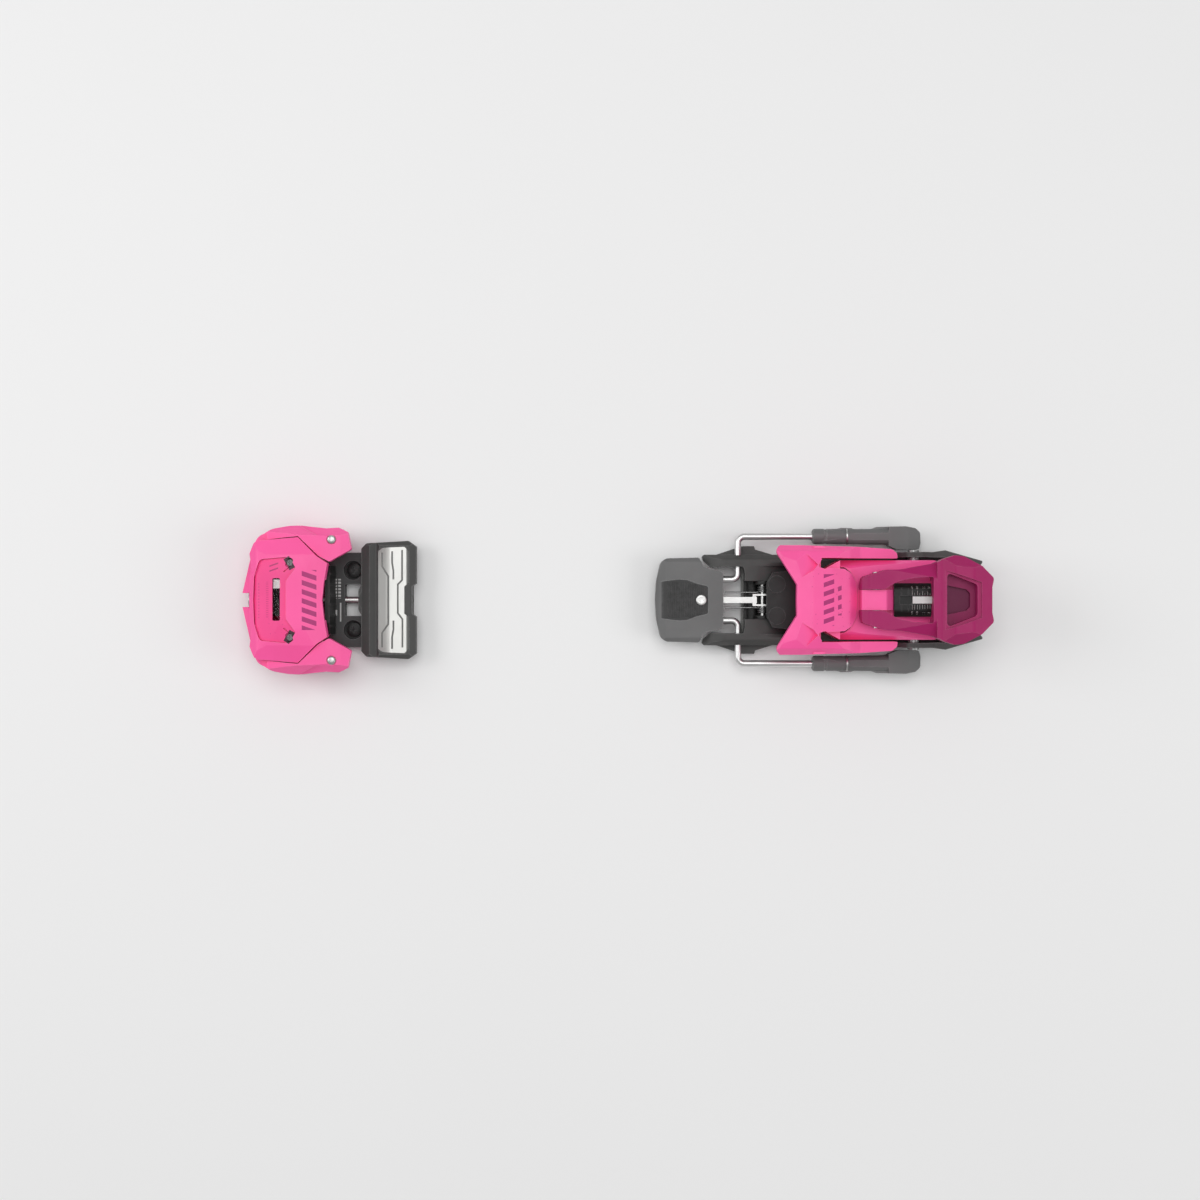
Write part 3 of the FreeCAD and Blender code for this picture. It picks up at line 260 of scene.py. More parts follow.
# ---------------------------------------------------------------- materials
class Graph:
    """A few shorthands for building one material's nodes."""

    def __init__(self, name):
        self.material = bpy.data.materials.new(name)
        self.material.use_nodes = True
        self.nodes, self.links = self.material.node_tree.nodes, self.material.node_tree.links
        self.shader = self.nodes["Principled BSDF"]
        self.coords = self.nodes.new("ShaderNodeTexCoord").outputs["Object"]
        self.split = None

    def put(self, kind, inputs=(), **settings):
        made = self.nodes.new(kind)
        for key, value in settings.items():
            setattr(made, key, value)
        for key, value in dict(inputs).items():
            if isinstance(value, bpy.types.NodeSocket):
                self.links.new(value, made.inputs[key])
            else:
                made.inputs[key].default_value = value
        return made

    def stretched(self, scale):
        return self.put("ShaderNodeMapping", {"Vector": self.coords, "Scale": scale}).outputs["Vector"]

    def noise(self, scale, detail=2.0, rough=0.5, vector=None):
        made = self.put(
            "ShaderNodeTexNoise",
            {"Vector": vector or self.coords, "Scale": scale, "Detail": detail, "Roughness": rough})
        return made.outputs["Fac"]

    def span(self, value, low, high, to_low, to_high):
        made = self.put(
            "ShaderNodeMapRange",
            {"Value": value, "From Min": low, "From Max": high, "To Min": to_low, "To Max": to_high})
        return made.outputs["Result"]

    def math(self, kind, a, b=0.0):
        return self.put("ShaderNodeMath", {0: a, 1: b}, operation=kind).outputs[0]

    def mix(self, fraction, a, b):
        made = self.put("ShaderNodeMix", {0: fraction, 6: a, 7: b}, data_type="RGBA")
        return made.outputs[2]

    def xyz(self):
        if self.split is None:
            self.split = self.put("ShaderNodeSeparateXYZ", {0: self.coords}).outputs
        return self.split

    def times(self, first, *others):
        for other in others:
            first = self.math("MULTIPLY", first, other)
        return first

    def either(self, first, *others):
        for other in others:
            first = self.math("MAXIMUM", first, other)
        return first

    def above(self, value, limit):
        return self.math("GREATER_THAN", value, limit)

    def below(self, value, limit):
        return self.math("LESS_THAN", value, limit)

    def within(self, value, middle, half):
        """1 where value is within half of middle, in millimetres."""
        return self.below(self.math("ABSOLUTE", self.math("SUBTRACT", value, middle * MM)), half * MM)

    def leaning(self, slope):
        """y plus slope times x, which turns stripes across y into slanted ones."""
        x, y, _ = self.xyz()
        return self.math("ADD", y, self.times(x, slope))

    def stripes(self, value, pitch, share):
        """Stripes every pitch millimetres of value, share of the pitch wide."""
        return self.below(self.math("FRACT", self.times(value, 1000.0 / pitch)), share)

    def dots(self, scale, scatter, size):
        cells = self.put("ShaderNodeTexVoronoi", {"Vector": self.coords, "Scale": scale, "Randomness": scatter})
        return self.below(cells.outputs["Distance"], size)

    def patch(self, x, y, half_x, half_y):
        """1 in a rectangle about x, y, in millimetres."""
        across, along, _ = self.xyz()
        return self.times(self.within(across, x, half_x), self.within(along, y, half_y))


def shade(colour, factor):
    return tuple(max(0.0, min(1.0, c * factor)) for c in colour[:3]) + (1.0,)


def surface(
        name, colour, rough=0.45, metal=0.0, grain=2600.0, depth=0.05, tone=0.05, wear=0.22, streak=None,
        specular=0.5, paint=None):
    """Moulded plastic or machined metal: two sizes of colour change, worn edges, uneven gloss and fine relief.
    streak stretches the grain along an axis; paint(graph) returns (mask, colour) pairs laid on top."""
    g = Graph(name)
    vector = g.stretched(streak) if streak else None
    broad = g.span(g.noise(28.0, 3.0), 0.32, 0.68, 0.0, 1.0)
    fine = g.noise(grain, 3.0, 0.6, vector)
    base = g.mix(broad, shade(colour, 1.0 - tone), shade(colour, 1.0 + tone * 0.6))
    speck = g.span(fine, 0.3, 0.7, 0.0, 1.0)
    base = g.mix(g.times(speck, 0.07), base, shade(colour, 0.8))
    soft = g.put("ShaderNodeBevel", {"Radius": 0.0009}, samples=4).outputs["Normal"]
    flat = g.put("ShaderNodeNewGeometry").outputs["Normal"]
    turn = g.put("ShaderNodeVectorMath", {0: soft, 1: flat}, operation="DOT_PRODUCT").outputs["Value"]
    edge = g.span(turn, 0.93, 0.995, wear, 0.0)
    scuff = g.times(edge, g.span(g.noise(420.0, 4.0), 0.35, 0.6, 0.25, 1.0))
    lighter = tuple(c + (1.0 - c) * 0.35 for c in colour[:3]) + (1.0,)
    base = g.mix(scuff, base, lighter)
    for mask, ink in (paint(g) if paint else ()):
        base = g.mix(mask, base, ink)
    g.links.new(base, g.shader.inputs["Base Color"])
    blotch = g.noise(160.0, 3.0, 0.55, vector)
    g.links.new(g.span(blotch, 0.3, 0.7, rough - 0.03, rough + 0.05), g.shader.inputs["Roughness"])
    g.shader.inputs["Metallic"].default_value = metal
    g.shader.inputs["Specular IOR Level"].default_value = specular
    relief = g.put("ShaderNodeBump", {"Height": fine, "Strength": depth * 4, "Distance": 0.00012})
    g.links.new(relief.outputs["Normal"], g.shader.inputs["Normal"])
    return g.material


def srgb(code):
    def channel(v):
        v /= 255
        return v / 12.92 if v < 0.04045 else ((v + 0.055) / 1.055) ** 2.4
    return tuple(channel(int(code[i:i + 2], 16)) for i in (0, 2, 4)) + (1.0,)


PINK = srgb("ff57a1")
MAGENTA = srgb("a2195e")
BLACK = srgb("474747")
DARK = srgb("444443")
GREY = srgb("686868")
INK = srgb("a8186c")
SPOT_INK = srgb("d02a78")
# Painted shade for the slots around the cover's screws.
SLOT_SHADE = srgb("40232f")


def cover_print_and_painted_shade(g):
    """The generic stripes on the cover's rear facet, and painted shade in the slots around its screws."""
    height = g.xyz()[2]
    field = g.times(g.patch(-24.6, 0.0, 4.9, 20.5), g.above(height, 0.040))
    return [(g.times(g.stripes(g.leaning(0.35), 6.2, 0.55), field), INK), (slot_shade_mask(g), SLOT_SHADE)]


def inset_print_and_painted_shade(g):
    """Two rows of ticks in front of the window, a scatter of dots, two slanted strokes, and painted shade in the
    screws' slots.
    """
    y = g.xyz()[1]
    ticks = g.either(*[g.times(g.stripes(y, pitch, 0.55), g.patch(x, 0.0, half, 12.5))
                       for x, half, pitch in ((-59.6, 0.5, 2.1), (-53.6, 0.9, 1.5))])
    spots = g.times(g.dots(340.0, 0.75, 0.16), g.patch(-50.0, -18.0, 9.0, 9.0))
    bars = g.times(g.stripes(g.leaning(-0.35), 3.4, 0.3), g.patch(-49.0, 22.4, 3.0, 3.4))
    return [(g.times(ticks, 0.45), srgb("c2286f")), (g.times(bars, 0.7), srgb("8a2a5c")),
            (g.times(spots, 0.45), SPOT_INK), (slot_shade_mask(g), SLOT_SHADE)]


def cup_print(g):
    """Generic stripes and a scatter of dots on the heel cup's tongue."""
    stripes = g.stripes(g.leaning(-0.35), 6.2, 0.5)
    high = g.above(g.xyz()[2], 0.045)
    thick = g.times(stripes, g.patch(329.0, 0.0, 3.6, 17.5), high)
    thin = g.times(stripes, g.patch(336.6, 0.0, 1.3, 10.5), high)
    spots = g.times(g.dots(300.0, 0.8, 0.15), g.patch(330.0, 0.0, 15.0, 19.0), high, 0.5)
    return [(thick, INK), (thin, INK), (spots, SPOT_INK)]


def slot_shade_mask(g):
    """Painted shade in the two slots around the cover's screws, leaning towards the middle of the cover."""
    across = g.xyz()
    x = g.math("ADD", across[0], 0.0383)
    y = g.math("SUBTRACT", g.math("ABSOLUTE", across[1]), 0.0252)
    along = g.math("SUBTRACT", g.times(x, 0.49), g.times(y, 0.87))
    over = g.math("ADD", g.times(x, 0.87), g.times(y, 0.49))
    return g.times(g.within(along, 0.0, 4.3), g.within(over, 0.0, 2.3), g.above(across[2], 0.036))


def lever_pocket_painted_shade(g):
    """Painted shade: the floor of the lever's pocket drawn darker."""
    low = g.span(g.xyz()[2], 0.0575, 0.0640, 1.0, 0.0)
    return [(g.times(low, g.patch(416.0, 0.0, 12.0, 18.6)), srgb("6a1c44"))]


def plate_painted_shade(g):
    """Painted shade in the grooves and on the front slope of the steel sole plate."""
    x, _, z = g.xyz()
    slope = g.math("ADD", g.times(g.math("SUBTRACT", x, 0.018), 0.1534), 0.01592)
    low = g.below(z, g.math("MINIMUM", slope, 0.01722))
    front = g.span(x, 0.0235, 0.0272, 0.75, 0.0)
    return [(front, (0.28, 0.28, 0.27, 1)), (low, (0.16, 0.16, 0.155, 1))]


def brake_base_painted_shade(g):
    """Painted shade: the brake base is drawn near-black where the boot's heel plate and the hub sit."""
    x, y, _ = g.xyz()
    out = g.math("ABSOLUTE", y)
    seat = g.times(g.above(x, 0.2752), g.below(out, 0.0135))
    rear = g.times(g.span(x, 0.290, 0.302, 0.0, 1.0), g.below(out, 0.0262))
    return [(seat, srgb("141313")), (rear, srgb("0e0d0d"))]


def base_print(g):
    """A plain setting mark behind the toe jaws: a line with an arrow, and two rows of short dashes."""
    x, y, _ = g.xyz()
    out = g.times(g.math("ABSOLUTE", g.math("SUBTRACT", y, -0.0090)), 0.9)
    wedge = g.below(g.math("ADD", out, g.math("SUBTRACT", -0.0140, x)), 0.0012)
    arrow = g.times(wedge, g.patch(-12.6, -9.0, 1.3, 2.0))
    rows = [g.times(g.stripes(y, 2.3, 0.62), g.patch(row, 8.0, 0.95, 1.15 * 6)) for row in (-12.4, -9.6)]
    marks = g.either(g.patch(-8.9, -8.6, 0.5, 6.6), arrow, *rows)
    return [(g.times(marks, 0.75), srgb("d8d8d6"))]


PINK_MOULDING = {"rough": 0.42, "depth": 0.035, "tone": 0.06, "wear": 0.25}
BLACK_MOULDING = {"rough": 0.55, "grain": 1900.0, "depth": 0.10, "tone": 0.12, "wear": 0.3, "specular": 0.35}
DARK_MOULDING = {"rough": 0.5, "grain": 2100.0, "depth": 0.09, "tone": 0.10, "specular": 0.4}
pink = surface("pink_nylon", PINK, **PINK_MOULDING)
# The cover and its inset carry print, and painted shade in the screws' slots.
pink_cover = surface("pink_nylon_print_and_painted_shade", PINK, **PINK_MOULDING, paint=cover_print_and_painted_shade)
pink_inset = surface(
    "pink_nylon_inset", srgb("f6458f"), rough=0.46, depth=0.05, tone=0.06, wear=0.08, paint=inset_print_and_painted_shade)
pink_cup = surface("pink_nylon_cup", PINK, **PINK_MOULDING, paint=cup_print)
pink_body = surface("pink_nylon_body", PINK, rough=0.5, depth=0.05, tone=0.08, wear=0.2)
# The lever's pocket floor carries painted shade.
magenta = surface(
    "magenta_nylon", MAGENTA, rough=0.4, depth=0.03, tone=0.05, wear=0.16, specular=0.25, paint=lever_pocket_painted_shade)
black = surface("black_nylon", BLACK, **BLACK_MOULDING)
black_base = surface("black_nylon_marked", BLACK, **BLACK_MOULDING, paint=base_print)
# The brake base carries painted shade in its middle and at its rear.
dark_base_with_painted_shade = surface("dark_nylon_base_painted_shade", DARK, **DARK_MOULDING, wear=0.2, paint=brake_base_painted_shade)
dark = surface("dark_nylon", DARK, **DARK_MOULDING, wear=0.4)
grey = surface("grey_nylon", GREY, rough=0.48, grain=2300.0, depth=0.09, tone=0.10, wear=0.4, specular=0.4)
# Deep black: the own colour of the drum, hubs and mount screws, and painted shade on the toe's rear wall, the heel
# treadle and the cam plate.
deep_black_and_painted_shade = surface(
    "deep_black_nylon_and_painted_shade", srgb("0f0e0e"), rough=0.45, grain=1900.0, depth=0.08, tone=0.12, wear=0.2, specular=0.4)
rubber = surface(
    "grip_rubber", srgb("434343"), rough=0.68, grain=1500.0, depth=0.08, tone=0.06, wear=0.1, specular=0.3)
steel = surface(
    "zinc_plated_steel", (0.50, 0.50, 0.49, 1), rough=0.34, metal=1.0, grain=1300.0, depth=0.03, tone=0.10, wear=0.2,
    streak=(1.0, 6.0, 6.0))
# The sole plate carries painted shade in its grooves and on its front slope.
slide_steel = surface(
    "brushed_slide_steel", (0.60, 0.60, 0.58, 1), rough=0.42, metal=0.9, grain=900.0, depth=0.03, tone=0.06,
    wear=0.15, streak=(14.0, 0.8, 14.0), paint=plate_painted_shade)
screw_grey = surface("dull_screw_steel", (0.16, 0.16, 0.16, 1), rough=0.45, metal=0.85, grain=3000.0, depth=0.04)
spring = surface(
    "oiled_spring_steel", (0.30, 0.30, 0.30, 1), rough=0.32, metal=1.0, grain=1700.0, depth=0.04, tone=0.15, wear=0.2)
brass = surface(
    "machined_brass", (0.68, 0.50, 0.24, 1), rough=0.3, metal=1.0, grain=1500.0, depth=0.03, tone=0.1, wear=0.2,
    streak=(8.0, 1.0, 8.0))
white = surface("white_marker", (0.80, 0.81, 0.80, 1), rough=0.35, depth=0.02, tone=0.03, wear=0.0)
rivet_steel = surface(
    "satin_rivet_steel", (0.62, 0.62, 0.61, 1), rough=0.42, metal=1.0, grain=1300.0, depth=0.05, tone=0.06, wear=0.1)
wire_steel = surface(
    "polished_wire_steel", (0.74, 0.74, 0.735, 1), rough=0.36, metal=1.0, grain=1100.0, depth=0.02, tone=0.08,
    wear=0.1, streak=(1.0, 8.0, 8.0))
track = surface(
    "track_nylon", srgb("8f8f8d"), rough=0.55, grain=1900.0, depth=0.08, tone=0.1, wear=0.25, specular=0.35)


def clear_lens():
    g = Graph("clear_lens")
    haze = g.span(g.noise(600.0, 3.0), 0.3, 0.7, 0.0, 0.03)
    g.links.new(haze, g.shader.inputs["Roughness"])
    g.shader.inputs["Base Color"].default_value = (0.97, 0.98, 0.98, 1)
    g.shader.inputs["Transmission Weight"].default_value = 1.0
    g.shader.inputs["IOR"].default_value = 1.08
    return g.material


lens = clear_lens()


# ---------------------------------------------------------------- toe unit
WING_PIVOT = (-55.7, 37.4)
ROLLER = (-9.9, 41.4)
COVER_SCREW = (-38.3, 25.6)
MOUNT_SCREW_Y = 21
TOE_SCREW = (0, 0, 22.5)
SEAM = [(-66.6, 32), (-63.4, 38.6), (-61.3, 40.6), (-33.2, 43.1), (-19.5, 29.8), (-12.7, 25.3)]


def cover_blank(drop=0):
    """The cover's outer form, lowered by drop."""
    side = xz_section(
        [(-71, 28.2), (-71, 33), (-67.5, 39), (-61, 44.4), (-46, 47), (-27, 46.7), (-10, 43.4), (-10, 20), (-66, 20)],
        [0, 2, 4, 6, 10, 8, 0, 0, 0], 50)
    front = yz_section([(-46, 18), (-46, 40.2), (-31, 45.6), (-17, 47)], [0, 0, 4, 8], -80, 0)
    form = common(side, front)
    if drop:
        form.data.transform(Matrix.Translation((0, 0, -drop * MM)))
    return form


def toe_cover():
    plan = slab(
        rounded(
            mirrored([(-66.9, 0), (-66.4, 12), (-65.4, 24), *SEAM, (-14.9, 12), (-16.1, 0)]),
            [0, 30, 20, 1, 2, 1, 0.6, 6, 0.8, 20, 0, 20, 0.8, 6, 0.6, 1, 2, 1, 20, 30], 3), 15, 60)
    body = common(cover_blank(), plan)
    recess_plan = [(-63.6, 0), (-62.9, 16), (-58.8, 27.8), (-40.4, 29.4), (-33.8, 22.2), (-40, 13.6), (-40.4, 11.6)]
    recess = rounded(mirrored(recess_plan), [20, 12, 4, 2, 1.2, 3, 3, 3, 3, 1.2, 2, 4, 12], 4)
    floor = common(cover_blank(2.6), slab(recess, 39, 60))
    body = cut(body, slab(recess, 39.5, 60))
    body = fuse(body, floor)
    inset_plan = balanced(
        [(-63.3, 0), (-62.6, 15.9), (-58.6, 27.4), (-40.5, 29), (-34.3, 22.2), (-40.3, 13.8), (-40.7, 11.5)],
        [20, 12, 4, 2, 1.2, 3, 3])
    inset = common(cover_blank(1.7), slab(inset_plan, 39, 60))
    inset = cut(inset, cover_blank(2.58))
    skirt = [side_block(s, (-72, 30.5, 10), (-40, 60, 36)) for s in (1, -1)]
    under = [slab(mirrored([(-63.5, 0), (-63.5, 22), (-14.6, 22)]), 10, 41.4),
             slab(mirrored([(-66.2, 0), (-66.2, 50), (0, 50)]), 10, 36)]
    window = rounded(rect(-50.1, -14.2, -44.7, 15), 1, 3)
    ovals = []
    for s in (1, -1):
        turn = math.radians(60) * s
        ring = []
        for x, y in rounded(rect(-3.4, -2.1, 3.4, 2.1), 1.8, 5):
            along = COVER_SCREW[0] + x * math.cos(turn) - y * math.sin(turn)
            over = COVER_SCREW[1] * s + x * math.sin(turn) + y * math.cos(turn)
            ring.append((along, over))
        ovals.append(slab(ring, 41.8, 60))
    slits = [slab([(-42.6 + dx, y * s) for dx, y in ((0, 19.4), (0.8, 19), (4.6, 22), (3.8, 22.6))], 43.2, 60)
             for s in (1, -1)]
    holes = [slab(window, 10, 60), *ovals, *slits]
    inset = cut(inset, *[copied(tool) for tool in holes])
    body = cut(body, *skirt, *under, *holes)
    piece(inset, "toe_cover_inset", "ski_interface", pink_inset, bevel=0.2, angle=24)
    piece(body, "toe_cover_shell", "ski_interface", pink_cover, ["toe_cover"], bevel=0.45, angle=20)


def toe_cover_screws():
    for s, side in SIDES:
        x, y = COVER_SCREW[0], COVER_SCREW[1] * s
        head = lathe([(0, 41.7), (2.3, 41.7), (2.5, 41.9), (2.5, 43), (2.2, 43.3), (0, 43.3)], (x, y, 0))
        cross = cross_recess(x, y, 42.4, 45, 1.5, 0.35)
        shank = rod(1.4, 29, 41.75, (x, y, 0), count=20)
        piece(
            fuse(cut(head, *cross), shank), f"toe_cover_screw_{side}", "ski_interface", screw_grey,
            ["toe_cover_screws"] if s > 0 else (), bevel=0.12)


def toe_wing(side, name):
    """A wing: its outer skin with the scooped flank, the lip over the boot, the hub and the lug."""
    def turned(points):
        return points if side > 0 else [(x, -y) for x, y in points][::-1]

    lower = slab(
        turned(
            rounded(
                [(-59.6, 44.2), (-55.6, 47), (-50.9, 49.2), (-40.5, 51.2), (-32.6, 51.5), (-25.3, 50.6),
                 (-12.8, 49.2), (-5.9, 49.6), (-3.2, 47.2), (-2, 43.5), (-2, 38.6), (-14, 35.6), (-30, 32.8),
                 (-46.5, 35.5)], [1, 6, 12, 20, 1.5, 8, 6, 1.5, 1.5, 1.5, 1.5, 6, 4, 4], 4)), 14, 35.1)
    upper = slab(
        turned(
            rounded(
                [(-54.4, 41.6), (-55.4, 46.9), (-50.9, 49.2), (-40.5, 51.2), (-32.6, 51.5), (-25.3, 50.8),
                 (-12.8, 49.5), (-5.9, 49.9), (1, 46.6), (3.3, 34.8), (-11.6, 26.3), (-19.2, 30.5), (-32.9, 43.8),
                 (-46, 42.6)], [1, 4, 12, 20, 1.5, 8, 6, 1.5, 1.5, 1.5, 1, 6, 0.8, 4], 4)), 35, 46)
    body = fuse(lower, upper)
    top = xz_section(
        [(-62, 10), (-62, 34), (-55, 38.6), (-34, 42.2), (-14, 43.1), (-4, 42.6), (5, 40.2), (5, 10)],
        [0, 0, 6, 8, 8, 6, 0, 0], 70)
    flank = prism(
        "YZ",
        [(side * y, z) for y, z in rounded(
             [(-10, 10), (48.2, 10), (52.3, 26), (51.4, 33), (44.5, 42.6), (40, 46), (-10, 46)],
             [0, 0, 6, 4, 3, 4, 0], 4)], -75, 10)
    body = common(body, top, flank)
    scoop = slab(
        turned([(-33.5, 56), (-33.5, 51.2), (-20.6, 44.6), (-8.6, 46.3), (-4.4, 49.4), (-4.4, 56)]),
        [20, 30, 39.5, 40, 36.5, 29] if side > 0 else [29, 36.5, 40, 39.5, 30, 20], 60)
    body = cut(body, scoop)
    px, py = WING_PIVOT[0], WING_PIVOT[1] * side
    hub = lathe([(0, 14), (8, 14), (8.6, 14.6), (8.6, 33.2), (8, 33.8), (0, 33.8)], (px, py, 0), count=44)
    arm = side_block(side, (-59, 9.6, 16), (-54.4, 37, 29))
    root = side_block(side, (-58.9, 31, 16.2), (-47, 37, 32.6))
    body = fuse(body, hub, arm, root)
    rx, ry = ROLLER[0], ROLLER[1] * side
    tools = [rod(3.05, 0, 60, (px, py, 0)), rod(5.6, 17, 36, (rx, ry, 0), count=44),
             side_block(side, (rx - 4.2, 28, 17), (rx + 4.2, ROLLER[1], 36)),
             lathe([(0, 10), (2.42, 10), (2.42, 42.2), (3.5, 42.2), (3.5, 60), (0, 60)], (rx, ry, 0))]
    body = cut(body, *tools)
    piece(
        body, f"toe_wing_skin_{name}", f"toe_wing_{name}", pink, [f"toe_wing_{name}"], bevel=0.55,
        angle=22)
    pin = lathe(
        [(0, 14.4), (2.1, 14.4), (2.38, 14.7), (2.38, 42.3), (2.95, 42.3), (3, 42.5), (2.9, 43.1), (2.3, 43.6),
         (0.9, 43.75), (0, 43.7)], (rx, ry, 0), count=44)
    piece(
        pin, f"roller_pin_turned_{name}", f"toe_wing_{name}", steel, [f"roller_pin_{name}"], bevel=0)
    barrel = [(2.43, 17.4), (4.6, 17.4), (5, 17.6), (5.2, 18.1), (5.2, 21), (4.85, 21.3), (4.85, 22.1), (5.2, 22.4),
              (5.2, 30.6), (4.85, 30.9), (4.85, 31.7), (5.2, 32), (5.2, 34.9), (5, 35.4), (4.6, 35.6), (2.43, 35.6)]
    ring = lathe([*barrel, barrel[0]], (rx, ry, 0), count=44)
    piece(
        ring, f"sole_roller_turned_{name}", f"sole_roller_{name}", black, [f"sole_roller_{name}"],
        bevel=0)


def toe_housing():
    plan = rounded(mirrored([(-75.8, 4.9), (-67.7, 33), (-60, 43.3), (-46, 43.3), (-30, 36.8), (-16, 24)]), 0.6, 2)
    floor = slab(plan, 8, 13.5)
    nose_plan = mirrored([(-75.8, 4.9), (-67.7, 32.9), (-66.4, 32.9), (-62.8, 28.9)])
    heights = [19, 26.6, 27.5, 27.6]
    nose = slab(nose_plan, 13, heights + heights[::-1])
    pieces = [nose, block((-65.4, -12, 13), (-62, 12, 33))]
    for s in (1, -1):
        pieces.append(side_block(s, (-42.5, 9.6, 13), (-15.6, 15, 33.6)))
        pieces.append(rod(3.6, 13, 35.6, (-38.3, 26 * s, 0)))
    body = fuse(floor, *pieces)
    tools = [block((-80, -4.9, 7), (-70.2, 4.9, 40)), rod(2.9, -72, -60, TOE_SCREW, along="x"),
             rod(5.6, -71, -65.4, TOE_SCREW, along="x")]
    for s in (1, -1):
        tools.append(rod(9.1, 13.7, 40, (WING_PIVOT[0], WING_PIVOT[1] * s, 0)))
        tools.append(rod(3.02, 9.5, 15, (WING_PIVOT[0], WING_PIVOT[1] * s, 0)))
        tools.append(rod(1.5, 26.8, 40, (-38.3, 26 * s, 0)))
        tools.append(rod(6.4, 7, 15, (-44, 16 * s, 0)))
    body = cut(body, *tools)
    piece(body, "toe_housing_shell", "ski_interface", pink_body, ["toe_housing"], bevel=0.5, angle=24)
    # Painted shade: the toe's rear wall and its ribs are drawn deep black to stand for the shade under the cover's
    # rear edge.
    wall = prism(
        "YZ",
        rounded([(-24, 8.1), (24, 8.1), (24, 32.6), (16, 35.4), (-16, 35.4), (-24, 32.6)], [0, 0, 2, 3, 3, 2], 3),
        -15.5, -12.4)
    ribs = [block((-12.6, y, 8.2), (-11.9, y + 1.2, 33)) for y in (-18.6, -11.2, -3.8, 2.6, 10, 17.4)]
    piece(fuse(wall, *ribs), "toe_rear_wall", "ski_interface", deep_black_and_painted_shade, bevel=0.3)


def toe_base():
    plan = rounded(
        mirrored([(-58, 24), (-50, 29), (-14, 29), (-6, 33.4), (6, 33.4), (6.4, 31), (38, 31), (42, 27)]), 1.2, 3)
    body = slab(plan, 0, 8)
    tools = [slab(rounded(rect(-5.7, -11.3, 9, 11.3), 0.8, 3), -1, 12), block((9, -7, 1.2), (34, 7, 12)),
             lathe(
                 [(0, -8.6), (2.56, -8.6), (2.56, 38.7), (2.95, 38.7), (2.95, 42.5), (0, 42.5)], (0, 0, 5),
                 along="x")]
    for x, y in ((0, 21), (0, -21), (-44, 16), (-44, -16)):
        tools.append(
            lathe(
                [(0, -1), (2.75, -1), (2.75, 1.6), (5.4, 3.6), (6.35, 4.4), (6.35, 6.8), (6.9, 8.4), (6.9, 10),
                 (0, 10)], (x, y, 0), count=56))
    body = cut(body, *tools)
    ramps = [prism("XZ", [(x, 7.9), (x + 6, 7.9), (x + 6, 11), (x, 8)], y, y + 5) for x in (12, 27)
             for y in (-27.5, 22.5)]
    body = fuse(body, *ramps)
    piece(body, "toe_base_moulding", "ski_interface", black_base, ["toe_base_plate"], bevel=0.4)


def toe_mount_screws():
    """The black heads of the two rear mounting screws, with their shanks cut at the ski's surface."""
    for s, side in SIDES:
        head = lathe(
            [(0, 0.05), (2.4, 0.05), (2.4, 2.2), (5, 4.2), (5.2, 4.6), (4.9, 5.3), (3.4, 5.7), (0, 5.8)],
            (0, MOUNT_SCREW_Y * s, 0), count=48)
        cross = cross_recess(0, MOUNT_SCREW_Y * s, 4.3, 8, 2.4, 0.45)
        piece(cut(head, *cross), f"toe_mount_screw_{side}", "ski_interface", deep_black_and_painted_shade, bevel=0.12)


def afd_frame():
    """The sliding carriage: a bevelled rim, a trough in front of the steel plate and the round tongue."""
    outline = mirrored([(6.6, 36), (10.4, 39.8), (39.6, 41.5), (45.2, 37.6), (45.2, 11.6), (42.3, 9.6)])
    body = slab(rounded(outline, [2, 2.5, 1.2, 1.2, 0.8, 0.8] + [0.8, 0.8, 1.2, 1.2, 2.5, 2], 3), 9.2, 17)
    tongue = fuse(
        slab(
            rounded(
                [(4.5, -6.5), (5.7, -9.6), (8.1, -11), (18, -11.2), (18, 11.2), (8.1, 11), (5.7, 9.6), (4.5, 6.5)],
                [6, 5, 4, 0, 0, 4, 5, 6], 4), 9.2, 14.6),
        lathe([(0, 9.2), (9.2, 9.2), (9.2, 15.2), (8.6, 15.8), (0, 15.8)], (13.8, 0, 0), count=56))
    profile = xz_section(
        [(-1, 9), (-1, 14), (5, 15), (7.4, 15.2), (12.6, 16.9), (13.6, 16.4), (16.4, 14.6), (18, 14.8), (19, 16.6),
         (40.6, 16.9), (45.4, 14.6), (45.4, 9)], [0, 1, 2, 2, 0.8, 1, 1.5, 0.6, 0.8, 1, 0, 0], 50, 3)
    rim = yz_section([(-42, 9), (-42, 14.2), (-37.8, 17)], [0, 1, 1], -5, 50, 3)
    body = common(fuse(body, tongue), profile, rim)
    seat = slab(
        rounded(
            mirrored([(18.4, 35.2), (22, 37), (37.4, 37.6), (40.4, 34.8), (40.4, 11.5), (37.4, 9.3)]),
            [1, 1, 1, 1, 0.6, 0.6] * 2, 3), 15.4, 30)
    tools = [seat, block((15.6, -6.3, 0), (24.6, 6.3, 14)), block((-3, -3, 0), (50, 3, 10.4)),
             block((40, -7.4, 0), (50, 7.4, 10.4))]
    tools += [block((x - 3.6, y - 0.4, 0), (x + 9.6, y + 5.4, 12.4)) for x in (12, 27) for y in (-27.5, 22.5)]
    body = cut(body, *tools)
    piece(body, "afd_carriage_frame", "afd_carriage", dark, ["afd_carriage"], bevel=0.4, angle=20)


GROOVES = [[(21.6, 32.6), (21.6, 23.4), (25.9, 16.6), (25.9, -16.9), (21.5, -23), (21.5, -32.6)],
           [(28.6, 33.5), (28.6, 26), (29.5, 20.5), (29.5, 15)],
           [(28.6, -33.5), (28.6, -26), (29.5, -20.5), (29.5, -15)],
           [(35.6, 34.4), (35.6, 14), (32.6, 10.9), (32.6, -9.1), (35.8, -13.5), (35.8, -32.6)]]


